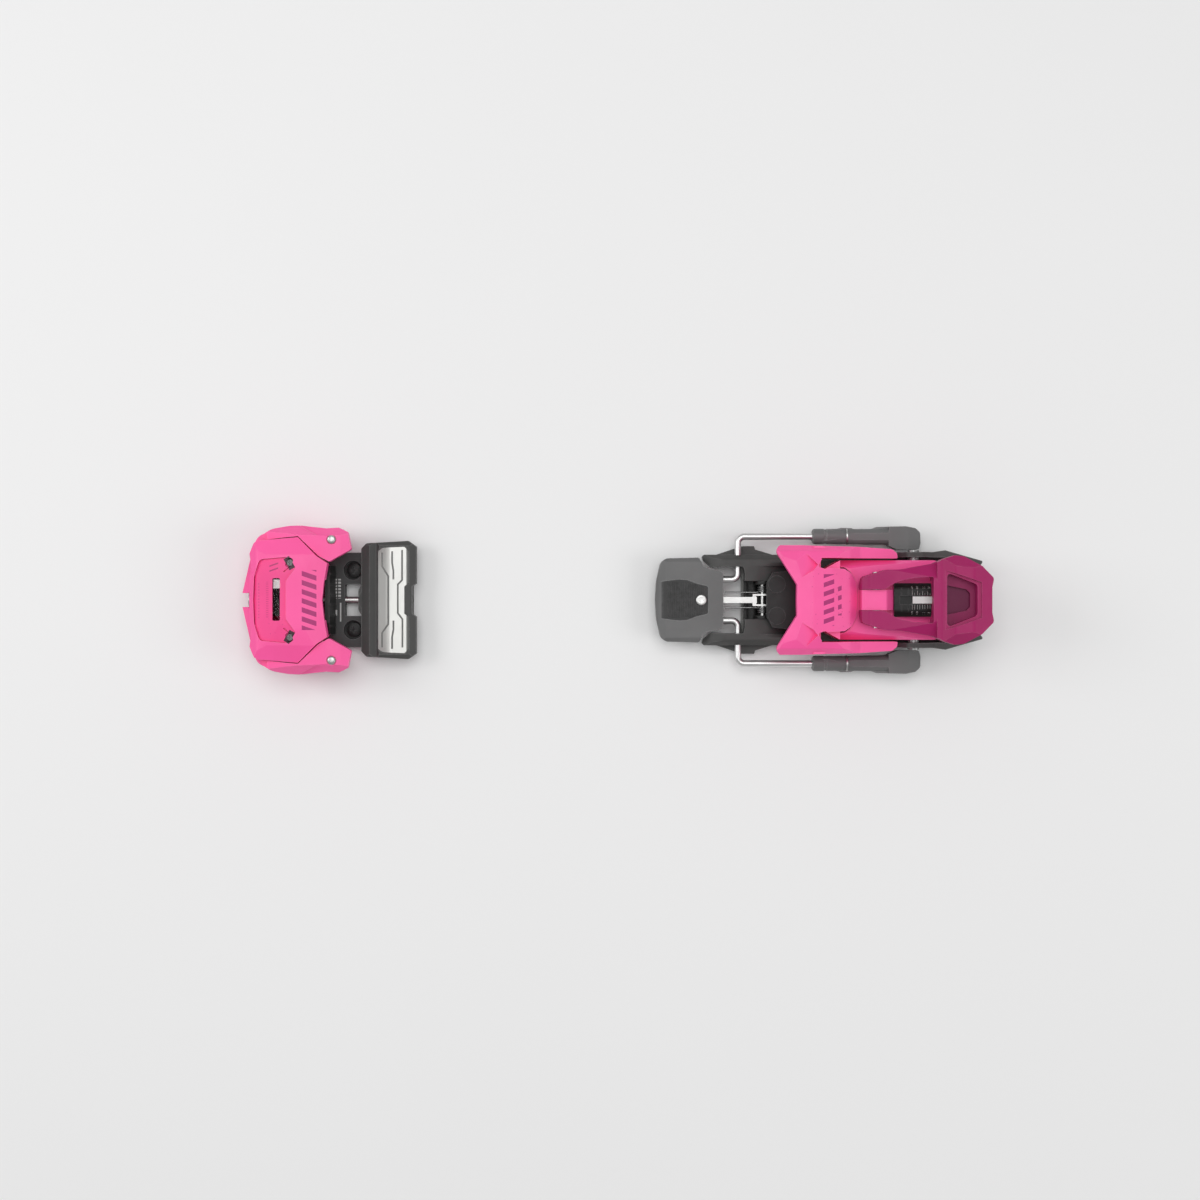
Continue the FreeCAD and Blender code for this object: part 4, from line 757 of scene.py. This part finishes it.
def groove_tool(path, half, bottom, top):
    """A channel along a path of straight runs."""
    left, right = [], []
    for i, point in enumerate(path):
        here = Vector(point)
        before = (here - Vector(path[i - 1])).normalized() if i else None
        after = (Vector(path[i + 1]) - here).normalized() if i + 1 < len(path) else None
        run = ((before or after) + (after or before)).normalized()
        side = Vector((-run.y, run.x)) * half / max(0.5, run.dot(after or before))
        cap = run * (half if after is None else -half if before is None else 0)
        left.append(tuple(here + side + cap))
        right.append(tuple(here - side + cap))
    return slab(left + right[::-1], bottom, top)


def afd_plate():
    outline = mirrored([(18.7, 34.4), (22.2, 36.6), (37.2, 37.2), (40.1, 34.3), (40.1, 11.9), (37.1, 9.6)])
    body = slab(rounded(outline, [1.2, 2, 1.5, 1.2, 0.6, 0.6] + [0.6, 0.6, 1.2, 1.5, 2, 1.2], 3), 15.45, 18)
    top = xz_section([(18, 15), (18, 16.05), (26.8, 17.4), (38, 17.4), (41, 16.5), (41, 15)], [0, 0, 5, 3, 0, 0], 50)
    body = cut(common(body, top), *[groove_tool(path, 0.62, 15.8, 20) for path in GROOVES])
    piece(
        body, "afd_steel_plate", "afd_carriage", slide_steel, ["afd_slide_plate"], bevel=0.18,
        angle=30, segments=2)


def build_toe():
    toe_cover()
    toe_cover_screws()
    for side, name in SIDES:
        toe_wing(side, name)
    toe_housing()
    toe_base()
    toe_mount_screws()
    afd_frame()
    afd_plate()


# ---------------------------------------------------------------- heel unit
RELEASE_AXIS = (0, 0, 35.4)
HEEL_AXLE = (392, 0, 24)
LEVER_AXLE = (362, 0, 50)


def heel_carriage():
    """The sledge under the heel unit with its two raised ears for the axle."""
    deck = slab(rounded(mirrored([(297.4, 31), (414.2, 31), (438, 23.5)]), 1, 2), 0.6, 13)
    edge = yz_section([(-31, 0.6), (-31, 10.6), (-28, 13)], [0, 1.5, 1.5], 290, 440, 3)
    deck = common(deck, edge)
    ears = []
    for s in (1, -1):
        low, high = sorted((24 * s, 35 * s))
        side = prism(
            "XZ", rounded(
                [(378.4, 6.9), (380.5, 30), (386, 36), (398, 36), (406, 27.5), (421, 23), (441.6, 20), (439, 14),
                 (430, 6.9)], [0, 3, 4, 5, 8, 4, 1, 2, 0], 4), low, high)
        plan = [(378, 29.6), (378, 33), (404.4, 33.2), (414.2, 34.6), (442.1, 27), (439.3, 24), (414, 29.6)]
        ears.append(common(side, slab(on_side(s, plan), 5, 40)))
    tools = [block((270, -24.4, 0), (445, 24.4, 6.8)), block((339, -6, 5), (425, 6, 20)),
             block((270, -14.1, 0), (297.2, 14.1, 20)), rod(4.9, 0, 12, (434, 0, 10.6), along="x"),
             rod(4.06, -50, 50, HEEL_AXLE, along="y")]
    for s in (1, -1):
        tools.append(side_block(s, (307.2, 11.6, 6), (334.9, 16.8, 12.2)))
    body = cut(fuse(deck, *ears), *tools)
    piece(body, "heel_carriage_shell", "heel_sledge", dark, ["heel_carriage"], bevel=0.5)


def heel_housing():
    side = xz_section(
        [(338, 20), (338, 45), (345, 46.5), (380, 42.5), (400, 39), (418, 37), (421.5, 34), (420, 31), (404, 27.6),
         (401, 18.5), (397, 15.4), (387, 15.4), (374, 20)], [0, 1, 6, 12, 12, 4, 2, 3, 4, 3, 4, 6, 2], 60)
    front = [(349.9, 0), (349.1, 12.4), (345.6, 18.4), (341, 22.3), (338, 22.3), (338, 27.3), (404, 27.3),
             (421.5, 21)]
    corners = [0, 8, 5, 1.5, 0.8, 1.5, 8, 3]
    plan = slab(balanced(front, corners), 10, 60)
    ridge = xz_section(
        [(351.2, 40), (351.2, 55.6), (353.6, 57), (368, 57), (374, 47), (374, 40)], [0, 1, 1.5, 2, 1, 0], 6.9)
    barrel = lathe([(0, 373), (8.7, 373), (8.7, 420.6), (8.1, 421.4), (0, 421.4)], RELEASE_AXIS, along="x", count=56)
    body = common(side, plan)
    shoulder = yz_section([(-28, 10), (-28, 38), (-22, 47)], [0, 6, 6], 330, 425, 5)
    body = fuse(common(body, shoulder), ridge, barrel)
    tools = [block((374.6, -11.7, 44.4), (400.4, 11.7, 70)), rod(6.8, 368, 405.6, RELEASE_AXIS, along="x", count=48),
             prism("XZ", [(343, 18), (343, 42), (346, 43), (376, 39.8), (376, 18)], -24.6, 24.6),
             rod(3.1, 405, 435, RELEASE_AXIS, along="x"), block((378.6, -2.8, 38), (405.4, 2.8, 47.2)),
             rod(6.5, 418, 424, RELEASE_AXIS, along="x", count=40), rod(4.05, -45, 45, HEEL_AXLE, along="y"),
             rod(2.52, -15, 15, LEVER_AXLE, along="y")]
    body = cut(body, *tools)
    piece(body, "heel_housing_shell", "heel_body", pink, ["heel_housing"], bevel=0.5, angle=24)


def heel_cup():
    """The lip over the boot's heel with its two swept wings, the printed tongue and the arms along the housing."""
    corners = [0, 1.2, 4, 5, 3, 8, 20, 3, 2, 0.8, 0.8, 1.5, 1, 3, 3, 6]
    half = [(307.4, 0), (307.6, 10.6), (293.4, 33.2), (296.3, 37.6), (300.4, 38), (320.9, 37), (351.6, 36.2),
            (374.2, 34.8), (377.6, 32), (378, 28.5), (324.9, 28.5), (320.9, 22), (340, 21.2), (345, 18), (348.6, 12),
            (349.4, 0)]
    outline = balanced(half, corners)
    plan = slab(outline, 20, 70)
    side = xz_section(
        [(293, 48), (293, 52), (298, 55), (318, 57.5), (332, 56.2), (344, 52), (352, 46.8), (379, 42), (379, 27.6),
         (372, 24.6), (322, 24.6), (318, 48)], [0, 1, 3, 10, 10, 10, 6, 1, 2, 3, 1, 1], 60, 5)
    crown = yz_section([(-39, 20), (-39, 46), (-33, 53.5), (-22, 58)], [0, 2, 2, 3], 290, 380)
    wall = slab(mirrored([(322, 0), (322, 30), (319, 36.8), (326, 36.8), (337.4, 30), (337.4, 0)]), 24.6, 50.4)
    core = cut(common(plan, side, crown), slab(mirrored([(326, 0), (326, 20.4), (351, 20.4)]), 24, 46.9))
    tools = [slab(mirrored([(280, 34), (306, 34), (316, 29), (321.8, 18), (323, 0)]), 10, 48.2)]
    facets = []
    for s in (1, -1):
        tools.append(rod(2, 18, 30, (330, 14 * s, 0), count=24))
        facets.append(
            slab(
                on_side(s, ((300.5, 27.6), (309, 14.2), (318.4, 20), (321.6, 24), (312, 33.5))),
                [57.3, 57, 54.6, 53.2, 54.2], 62))
        facets.append(
            slab(on_side(s, ((324.2, 28.6), (324.2, 21.6), (326.6, 21), (338.2, 27.4), (338.2, 28.6))), 20, 60))
    body = cut(fuse(core, wall), *tools, *facets)
    piece(body, "heel_cup_shell", "heel_body", pink_cup, ["heel_cup"], bevel=0.6, angle=18)


def heel_lever():
    corners = [1, 2, 3, 8, 6, 8, 4, 4, 3, 3, 2.5, 3]
    half = [(350.6, 7.2), (350.6, 10), (351.6, 15.5), (367, 20.4), (377, 20.6), (399, 24.6), (406, 28), (413, 30.2),
            (419, 29.4), (430, 22.6), (438.4, 14.6), (437, 8.6)]
    plan = slab(balanced(half, corners), 30, 90)
    side = xz_section(
        [(350, 47), (350.6, 57.5), (356, 60.6), (372, 60.6), (398, 63), (404, 64.5), (412, 70), (424, 71.5),
         (438.6, 67), (438.6, 63), (430, 54), (414, 51), (400, 50.4), (376, 49.6), (358, 46.6)],
        [1, 2, 5, 10, 3, 5, 5, 8, 2, 3, 8, 5, 5, 5, 3], 60)
    crown = yz_section([(-20, 40), (-31, 58), (-30, 63), (-21, 72)], [0, 3, 1.5, 2], 340, 440)
    arms = yz_section([(-40, 40), (-40, 50), (-15, 63.2), (-11, 64)], [0, 0, 2, 2], 340, 401, 3)
    tail = block((400.9, -50, 40), (440, 50, 90))
    body = common(plan, side, crown, fuse(arms, tail))
    gap = slab(
        rounded(
            [(340, 7.2), (366, 7.2), (374.8, 12.6), (386, 15), (398.6, 15.6), (398.6, -15.6), (386, -15),
             (374.8, -12.6), (366, -7.2), (340, -7.2)], [0, 2, 2, 2, 0.8, 0.8, 2, 2, 2, 0], 3), 30, 90)
    pocket = slab(rounded([(407, 18.4), (427, 10.4), (427, -10.4), (407, -18.4)], [2, 3, 3, 2], 4), 60.4, 90)
    deep = slab(
        rounded(
            [(407.6, 10), (421, 7.2), (423.6, 4.6), (423.6, -4.6), (421, -7.2), (407.6, -10)], [1, 2, 1.5, 1.5, 2, 1],
            3), 57.4, 90)
    funnel = slab([(404.6, 20.4), (429.4, 11.8), (429.4, -11.8), (404.6, -20.4)], [65.6, 68.4, 68.4, 65.6], 90)
    tools = [gap, pocket, deep, funnel, block((390, -13, 40), (407, 13, 57.4)),
             block((400, -11.4, 40), (426, 11.4, 55)), rod(2.5, -30, 30, LEVER_AXLE, along="y")]
    body = cut(body, *tools)
    piece(body, "heel_lever_shell", "heel_lever", magenta, ["heel_lever"], bevel=0.6, angle=18)


SEGMENTS = {
    "0": "abcdef", "1": "bc", "2": "abged", "3": "abgcd", "4": "fgbc", "5": "afgcd", "6": "afgedc", "7": "abc",
    "8": "abcdefg", "9": "abcdfg"}


def digit_bars(text, x, y, size, pitch):
    """Printed figures as thin raised bars, read from the heel's side; each figure is size tall along y."""
    bars = []
    thick = size * 0.16
    wide = size * 0.55
    for i, figure in enumerate(text):
        left = x + i * pitch
        for name in SEGMENTS[figure]:
            if name in "agd":
                height = {"a": size, "g": size / 2, "d": 0}[name]
                bars.append((left, y + height - thick / 2, left + wide, y + height + thick / 2))
            else:
                foot = y if name in "ec" else y + size / 2
                edge = left if name in "ef" else left + wide
                bars.append((edge - thick / 2, foot, edge + thick / 2, foot + size / 2))
    return bars


def release_scale():
    """The black setting drum with its raised white figures and lines."""
    plate = prism(
        "YZ", rounded(
            [(-11.5, 44.4), (11.5, 44.4), (11.5, 45.4), (8, 47.6), (-8, 47.6), (-11.5, 45.4)], [0, 0, 0.5, 6, 6, 0.5],
            5), 374.8, 400.2)
    steps = [block((x, -12, 47.25), (x + 0.5, 12, 60)) for x in (379.4, 384.2)]
    body = cut(plate, block((378.6, -2.9, 45.5), (402, 2.9, 50)), block((391.8, -2.9, 44), (402, 2.9, 50)), *steps)
    piece(body, "release_scale_drum", "heel_body", deep_black_and_painted_shade, ["release_scale"], bevel=0.25)
    marks = []
    for i, value in enumerate(("5", "8", "11", "14")):
        x = 386.4 + 3.5 * i
        for s in (1, -1):
            foot = 7.6 if s > 0 else -9.6
            marks += digit_bars(value, x, foot, 1.7, 1.25)
            low, high = sorted((s * 3.2, s * (6.6 - 0.25 * i)))
            marks.append((x + 0.5, low, x + 0.72, high))
            marks.append((x + 2.1, low, x + 2.3, (low + high) / 2 if s > 0 else high))
    body = None
    for x0, y0, x1, y1 in marks:
        low, high = sorted((y0, y1))
        top = 47.62 if max(abs(low), abs(high)) < 7.9 else 47.62 - 0.63 * (max(abs(low), abs(high)) - 8)
        bar = block((x0, low, min(top, 47.6) - 1.3), (x1, high, min(top, 47.6) + 0.06))
        body = bar if body is None else joined(body, bar)
    piece(body, "release_scale_figures", "heel_body", white, bevel=0)


def joined(base, other):
    """Two solids kept as separate shells of one mesh."""
    bm = bmesh.new()
    bm.from_mesh(base.data)
    bm.from_mesh(other.data)
    bm.to_mesh(base.data)
    bm.free()
    bpy.data.objects.remove(other)
    return base


def build_heel():
    heel_carriage()
    heel_housing()
    heel_cup()
    heel_lever()
    release_scale()


# ---------------------------------------------------------------- brake
BRAKE_HUB = (288, 0, 14.5)
PEDAL_RIVET = (244.7, 0, 0)
GRIP_CORNERS = [0, 4, 10, 3, 2, 1.5]


def brake_base():
    """The brake's moulded base: two low arms at the front and a bridge behind, with dark flanges."""
    half = [(275.4, 13.4), (275.4, 18.4), (274.4, 23.4), (262, 23.4), (252, 22.9), (246.6, 27.6), (245.6, 30.4),
            (247, 31.8), (300, 31.8), (312, 26)]
    corners = [0.5, 2, 1.5, 3, 3, 1, 1, 1, 3, 2]
    body = slab(balanced(half, corners, 3), 6.9, 19)
    flange = [(254, 26), (255, 31.6), (269.8, 36.6), (274.6, 38), (282.6, 38), (283.4, 35.6), (296, 31.8), (296, 26)]
    flanges = [slab(on_side(s, flange), 0.6, 8.4) for s in (1, -1)]
    crown = yz_section([(-38.1, 0), (-38.1, 9), (-31.8, 9.1), (-31.8, 15), (-28.6, 19)], [0, 0, 0, 2, 3], 240, 320)
    side = xz_section([(240, 0), (240, 10), (252, 17.9), (262, 19), (320, 19), (320, 0)], [0, 0, 5, 12, 0, 0], 60, 5)
    body = common(fuse(body, *flanges), crown, side)
    tools = [block((275, -13.2, 8.4), (297, 13.2, 30)),
             prism("XZ", [(297, 15.5), (285, 19.1), (285, 30), (320, 30), (320, 14)], -24, 24),
             block((297, -31.6, 0), (320, 31.6, 13)), block((284, -18, 0), (300, 18, 8)),
             rod(3.56, -45, 45, (270.9, 0, 13), along="y"), rod(1.5, -15.1, 15.1, BRAKE_HUB, along="y", count=24)]
    barrels = []
    for s in (1, -1):
        low, high = sorted((3.2 * s, 13.4 * s))
        ring = [(0, low), (4.8, low)]
        for k in range(1, 5):
            y = low + (high - low) * k / 5
            ring += [(4.8, y - 0.25), (4.45, y - 0.15), (4.45, y + 0.15), (4.8, y + 0.25)]
        barrels.append(lathe([*ring, (4.8, high), (0, high)], (281.4, 0, 6), along="y", count=40))
    body = cut(body, *tools)
    body = fuse(body, *[common(barrel, block((270, -20, 8), (296, 20, 12))) for barrel in barrels])
    piece(body, "brake_base_moulding", "heel_sledge", dark_base_with_painted_shade, ["brake_base"], bevel=0.5, angle=22)
    for s, name in SIDES:
        low, high = sorted((10.9 * s, 13.15 * s))
        hub = lathe(
            [(1.6, low), (5.4, low), (5.6, low + 0.2), (5.6, high - 0.2), (5.4, high), (1.6, high), (1.6, low)],
            BRAKE_HUB, along="y", count=40)
        piece(hub, f"brake_hub_{name}", "heel_sledge", deep_black_and_painted_shade, bevel=0)


def brake_pedal():
    top = 20.5
    half = [(212.6, 0), (213.4, 13.5), (216.5, 26.6), (220.4, 29.1), (243.4, 29.7), (246.2, 23.8), (249, 22.2),
            (257, 20.6), (260.2, 19.2), (260.2, 0)]
    corners = [0, 30, 5, 4, 2, 2, 3, 3, 1.2, 0]
    plan = slab(balanced(half, corners), 8, top)
    side = xz_section(
        [(212, 8), (212, 16.4), (215, 19.2), (220, top), (261, top), (261, 12.6), (235, 9.4)],
        [0, 0.6, 1.5, 6, 0, 0, 6], 50)
    crown = prism(
        "YZ",
        rounded([(-30, 8), (-30, 17.6), (-26.8, top), (26.8, top), (30, 17.6), (30, 8)], [0, 1.5, 3, 3, 1.5, 0], 4),
        205, 270)
    body = common(plan, side, crown)
    hollow = slab(
        mirrored([(216, 0), (218.6, 24.4), (223, 26.4), (241, 27), (243, 21), (252.4, 19.2), (266, 26), (266, 0)]), 7,
        17.4)
    rooms, clips = [], []
    for s in (1, -1):
        clips.append(side_block(s, (244.2, 5.6, 10), (251.8, 9.2, 17.6)))
        rooms.append(side_block(s, (240, 9.2, 7), (270, 24, 16.2)))
    seat_half = [(212, 13.2), (217, 13), (229.6, 14.4), (235, 14), (241.6, 11.4), (249.6, 9.6)]
    seat = slab(balanced(seat_half, GRIP_CORNERS, 3), top - 1, 30)
    body = cut(body, hollow, *rooms)
    body = fuse(body, *clips)
    bore = rod(2.35, -20, 20, (248, 0, 13), along="y")
    rivet_hole = rod(2, 12, 24, PEDAL_RIVET, count=24)
    body = cut(body, bore, seat, rivet_hole)
    piece(body, "brake_pedal_shell", "brake_pedal", grey, ["brake_pedal"], bevel=0.45, angle=20)


def pedal_grip():
    half = [(213.4, 12.9), (217, 12.7), (229.6, 14.1), (235, 13.7), (241.6, 11.1), (249.3, 9.4)]
    pad = slab(balanced(half, GRIP_CORNERS, 3), 19.55, 20.1)
    ribs = []
    for i in range(21):
        x = 221.6 + 1.25 * i
        reach = min(12.6, 13.4 - max(0, x - 233) * 0.30)
        ribs.append(prism("XZ", [(x - 0.38, 20), (x - 0.2, 20.52), (x + 0.2, 20.52), (x + 0.38, 20)], -reach, reach))
    across = [block((220.6, y - 0.16, 19.9), (248.8, y + 0.16, 20.35)) for y in (-8.4, -5.6, -2.8, 0, 2.8, 5.6, 8.4)]
    body = fuse(pad, *ribs)
    body = fuse(body, *across)
    trim = prism("XZ", [(212, 18.6), (220.2, 20.15), (220.2, 30), (212, 30)], -20, 20)
    hole = rod(3.9, 15, 27, PEDAL_RIVET, count=36)
    bore = rod(2, 15, 27, PEDAL_RIVET, count=36)
    hole.data.transform(Matrix.Translation((0, 0, 5.15 * MM)))
    body = cut(body, trim, bore, hole)
    piece(body, "pedal_grip_pad", "brake_pedal", rubber, ["pedal_grip"], bevel=0.08, segments=2)


def pedal_rivet():
    head = lathe(
        [(0, 13.8), (1.95, 13.8), (1.95, 20.7), (3.5, 20.7), (3.7, 20.85), (3.7, 21.15), (3.3, 21.5), (2.2, 21.6),
         (1.9, 21.45), (0, 21.4)], PEDAL_RIVET, count=44)
    piece(head, "pedal_rivet_turned", "brake_pedal", rivet_steel, ["pedal_rivet"], bevel=0)


def brake_shoe(side, name):
    """A round sleeve on the wire that widens into a notched blade with a rounded rear."""
    mid, up = 44.6 * side, 13
    sleeve = lathe(
        [(0, 322.9), (4.2, 322.9), (5, 323.5), (5.4, 324.6), (5.4, 331), (4.9, 331.4), (4.9, 332.6), (5.35, 333),
         (5.35, 344), (0, 344)], (0, mid, up), along="x", count=48)
    blade = slab(
        rounded(
            on_side(
                side,
                [(330, 39.6), (330, 49.4), (340, 49.9), (343, 50.6), (350, 50.4), (352, 49.7), (364, 49.8),
                 (368, 51.2), (388, 51.6), (395, 50.4), (398.6, 47.4), (399, 40), (397.6, 35.4), (382, 35.4),
                 (374, 38.8)]), [1, 1, 1, 1, 1, 1, 1, 1, 3, 3, 3, 5, 1, 2, 6], 4), up - 5.4, up + 5.4)
    profile = prism(
        "XZ", rounded(
            [(329, up - 4.4), (329, up + 4.4), (345, up + 5.4), (380, up + 5.4), (390, up + 4.8), (399.2, up + 1.5),
             (399.2, up - 5.4), (380, up - 5.4)], [0, 0, 8, 3, 3, 2, 1, 5], 4), *sorted((30 * side, 56 * side)))
    tube = lathe(
        [(0, 320), (5.4, 320), (5.4, 346), (5.9, 352), (5.9, 377), (0, 377)], (0, 44.4 * side, up), along="x",
        count=48)
    spread = side_block(side, (376, 30, 5), (402, 56, 20))
    wing = slab(on_side(side, [(329, 47.4), (329, 56), (402, 56), (402, 47.4)]), 7.6, 15.4)
    body = common(blade, profile, fuse(tube, spread, wing))
    bore = rod(2.33, 321.5, 334.5, (0, mid, up), along="x")
    body = cut(fuse(sleeve, body), bore)
    piece(
        body, f"brake_shoe_moulding_{name}", f"brake_arm_{name}", grey, [f"brake_shoe_{name}"],
        bevel=0.45, angle=24)
    turns = [math.pi * (0.08 + 0.84 * i / 14) for i in range(15)]
    outer, inner = ([(mid + r * math.cos(turn), up + r * math.sin(turn)) for turn in turns] for r in (5.95, 5.2))
    clip = prism("YZ", outer + inner[::-1], 346.4, 347.5)
    piece(clip, f"brake_shoe_ring_{name}", f"brake_arm_{name}", steel, bevel=0.1, segments=2)


def build_brake():
    brake_base()
    brake_pedal()
    pedal_grip()
    pedal_rivet()
    for side, name in SIDES:
        brake_shoe(side, name)


# ---------------------------------------------------------------- CAD pieces that stay as they are
def dress(names, material, bevel=0.0, angle=30):
    for name in names:
        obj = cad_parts[name]
        for face_slot in obj.material_slots:
            face_slot.material = material
        if bevel:
            edge = obj.modifiers.new("edges", "BEVEL")
            edge.width, edge.segments, edge.limit_method = bevel * MM, 2, "ANGLE"
            edge.angle_limit = math.radians(angle)
            edge.harden_normals = True


def dress_frame():
    dress(
        ["wing_pivot_pins", "toe_adjust_screw", "afd_spindle", "length_worm", "cup_bolts", "release_piston",
         "release_screw", "lever_axle", "link_pin"], steel)
    dress(["toe_spring_nut", "toe_thrust_plate"], steel, 0.25)
    dress(["brake_wire_right", "brake_wire_left"], wire_steel)
    dress(["brake_link"], rivet_steel, 0.2)
    # Painted shade: the heel axle wears the dark spring steel so that its ends read dark in their recesses.
    dress(["heel_axle", "toe_spring", "forward_pressure_springs", "release_spring", "brake_return_spring"], spring)
    dress(["afd_nut", "release_nut"], brass)
    dress(["heel_track"], track, 0.3)
    # The treadle and the cam plate are near-black partly in their own colour and partly as painted shade, under the
    # heel cup's front and behind the toe's window.
    dress(["heel_treadle", "toe_cam_plate", "brake_bushes"], deep_black_and_painted_shade, 0.3)
    dress(["toe_indicator"], white, 0.15)
    dress(["release_indicator"], white, 0.2)
    dress(["toe_window_lens"], lens, 0.15)
    for name, joint, fixed_end, moving_end, height in (
            ("toe_spring", "toe_nut_slide", -51.1, -25.1, 22.5),
            ("release_spring", "release_nut_slide", 372.7, 401.3, 35.4)):
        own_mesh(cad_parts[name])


# ---------------------------------------------------------------- stage
def build_stage():
    bm = bmesh.new()
    bmesh.ops.create_grid(bm, x_segments=1, y_segments=1, size=6.0)
    floor = from_bmesh(bm, "floor")
    floor.location = (0.19, 0.0, -0.0004)
    g = Graph("pale_floor")
    tint = g.mix(g.noise(3.0, 2.0), (0.86, 0.86, 0.86, 1), (0.875, 0.875, 0.875, 1))
    g.links.new(tint, g.shader.inputs["Base Color"])
    g.shader.inputs["Roughness"].default_value = 0.9
    g.shader.inputs["Specular IOR Level"].default_value = 0.1
    floor.data.materials.append(g.material)
    world = bpy.data.worlds.new("studio")
    world.use_nodes = True
    world.node_tree.nodes["Background"].inputs["Color"].default_value = (1.0, 1.0, 1.0, 1)
    world.node_tree.nodes["Background"].inputs["Strength"].default_value = 0.42
    bpy.context.scene.world = world


def area_light(name, spot, aim, size, power, colour=(1, 1, 1)):
    data = bpy.data.lights.new(name, "AREA")
    data.shape, data.size, data.energy, data.color = "SQUARE", size, power, colour
    lamp = bpy.data.objects.new(name, data)
    lamp.location = spot
    lamp.rotation_euler = (Vector(aim) - Vector(spot)).to_track_quat("-Z", "Y").to_euler()
    bpy.context.scene.collection.objects.link(lamp)


def build_lights():
    middle = (0.17, 0.0, 0.03)
    area_light("overhead", (0.17, 0.55, 2.4), middle, 1.6, 22.0)
    area_light("left", (-1.5, 0.35, 1.3), middle, 1.0, 11.0)
    area_light("right", (1.85, -0.35, 1.3), middle, 1.0, 7.0)


def build_camera():
    data = bpy.data.cameras.new("camera")
    data.lens, data.sensor_width = 50.7, 36.0
    data.clip_start, data.clip_end = 0.05, 20.0
    camera = bpy.data.objects.new("camera", data)
    camera.location = (0.17405, 0.0, 1.2)
    camera.rotation_euler = (0.0, 0.0, 0.0)
    bpy.context.scene.collection.objects.link(camera)
    bpy.context.scene.camera = camera


build_toe()
build_heel()
build_brake()
dress_frame()
build_stage()
build_lights()
build_camera()
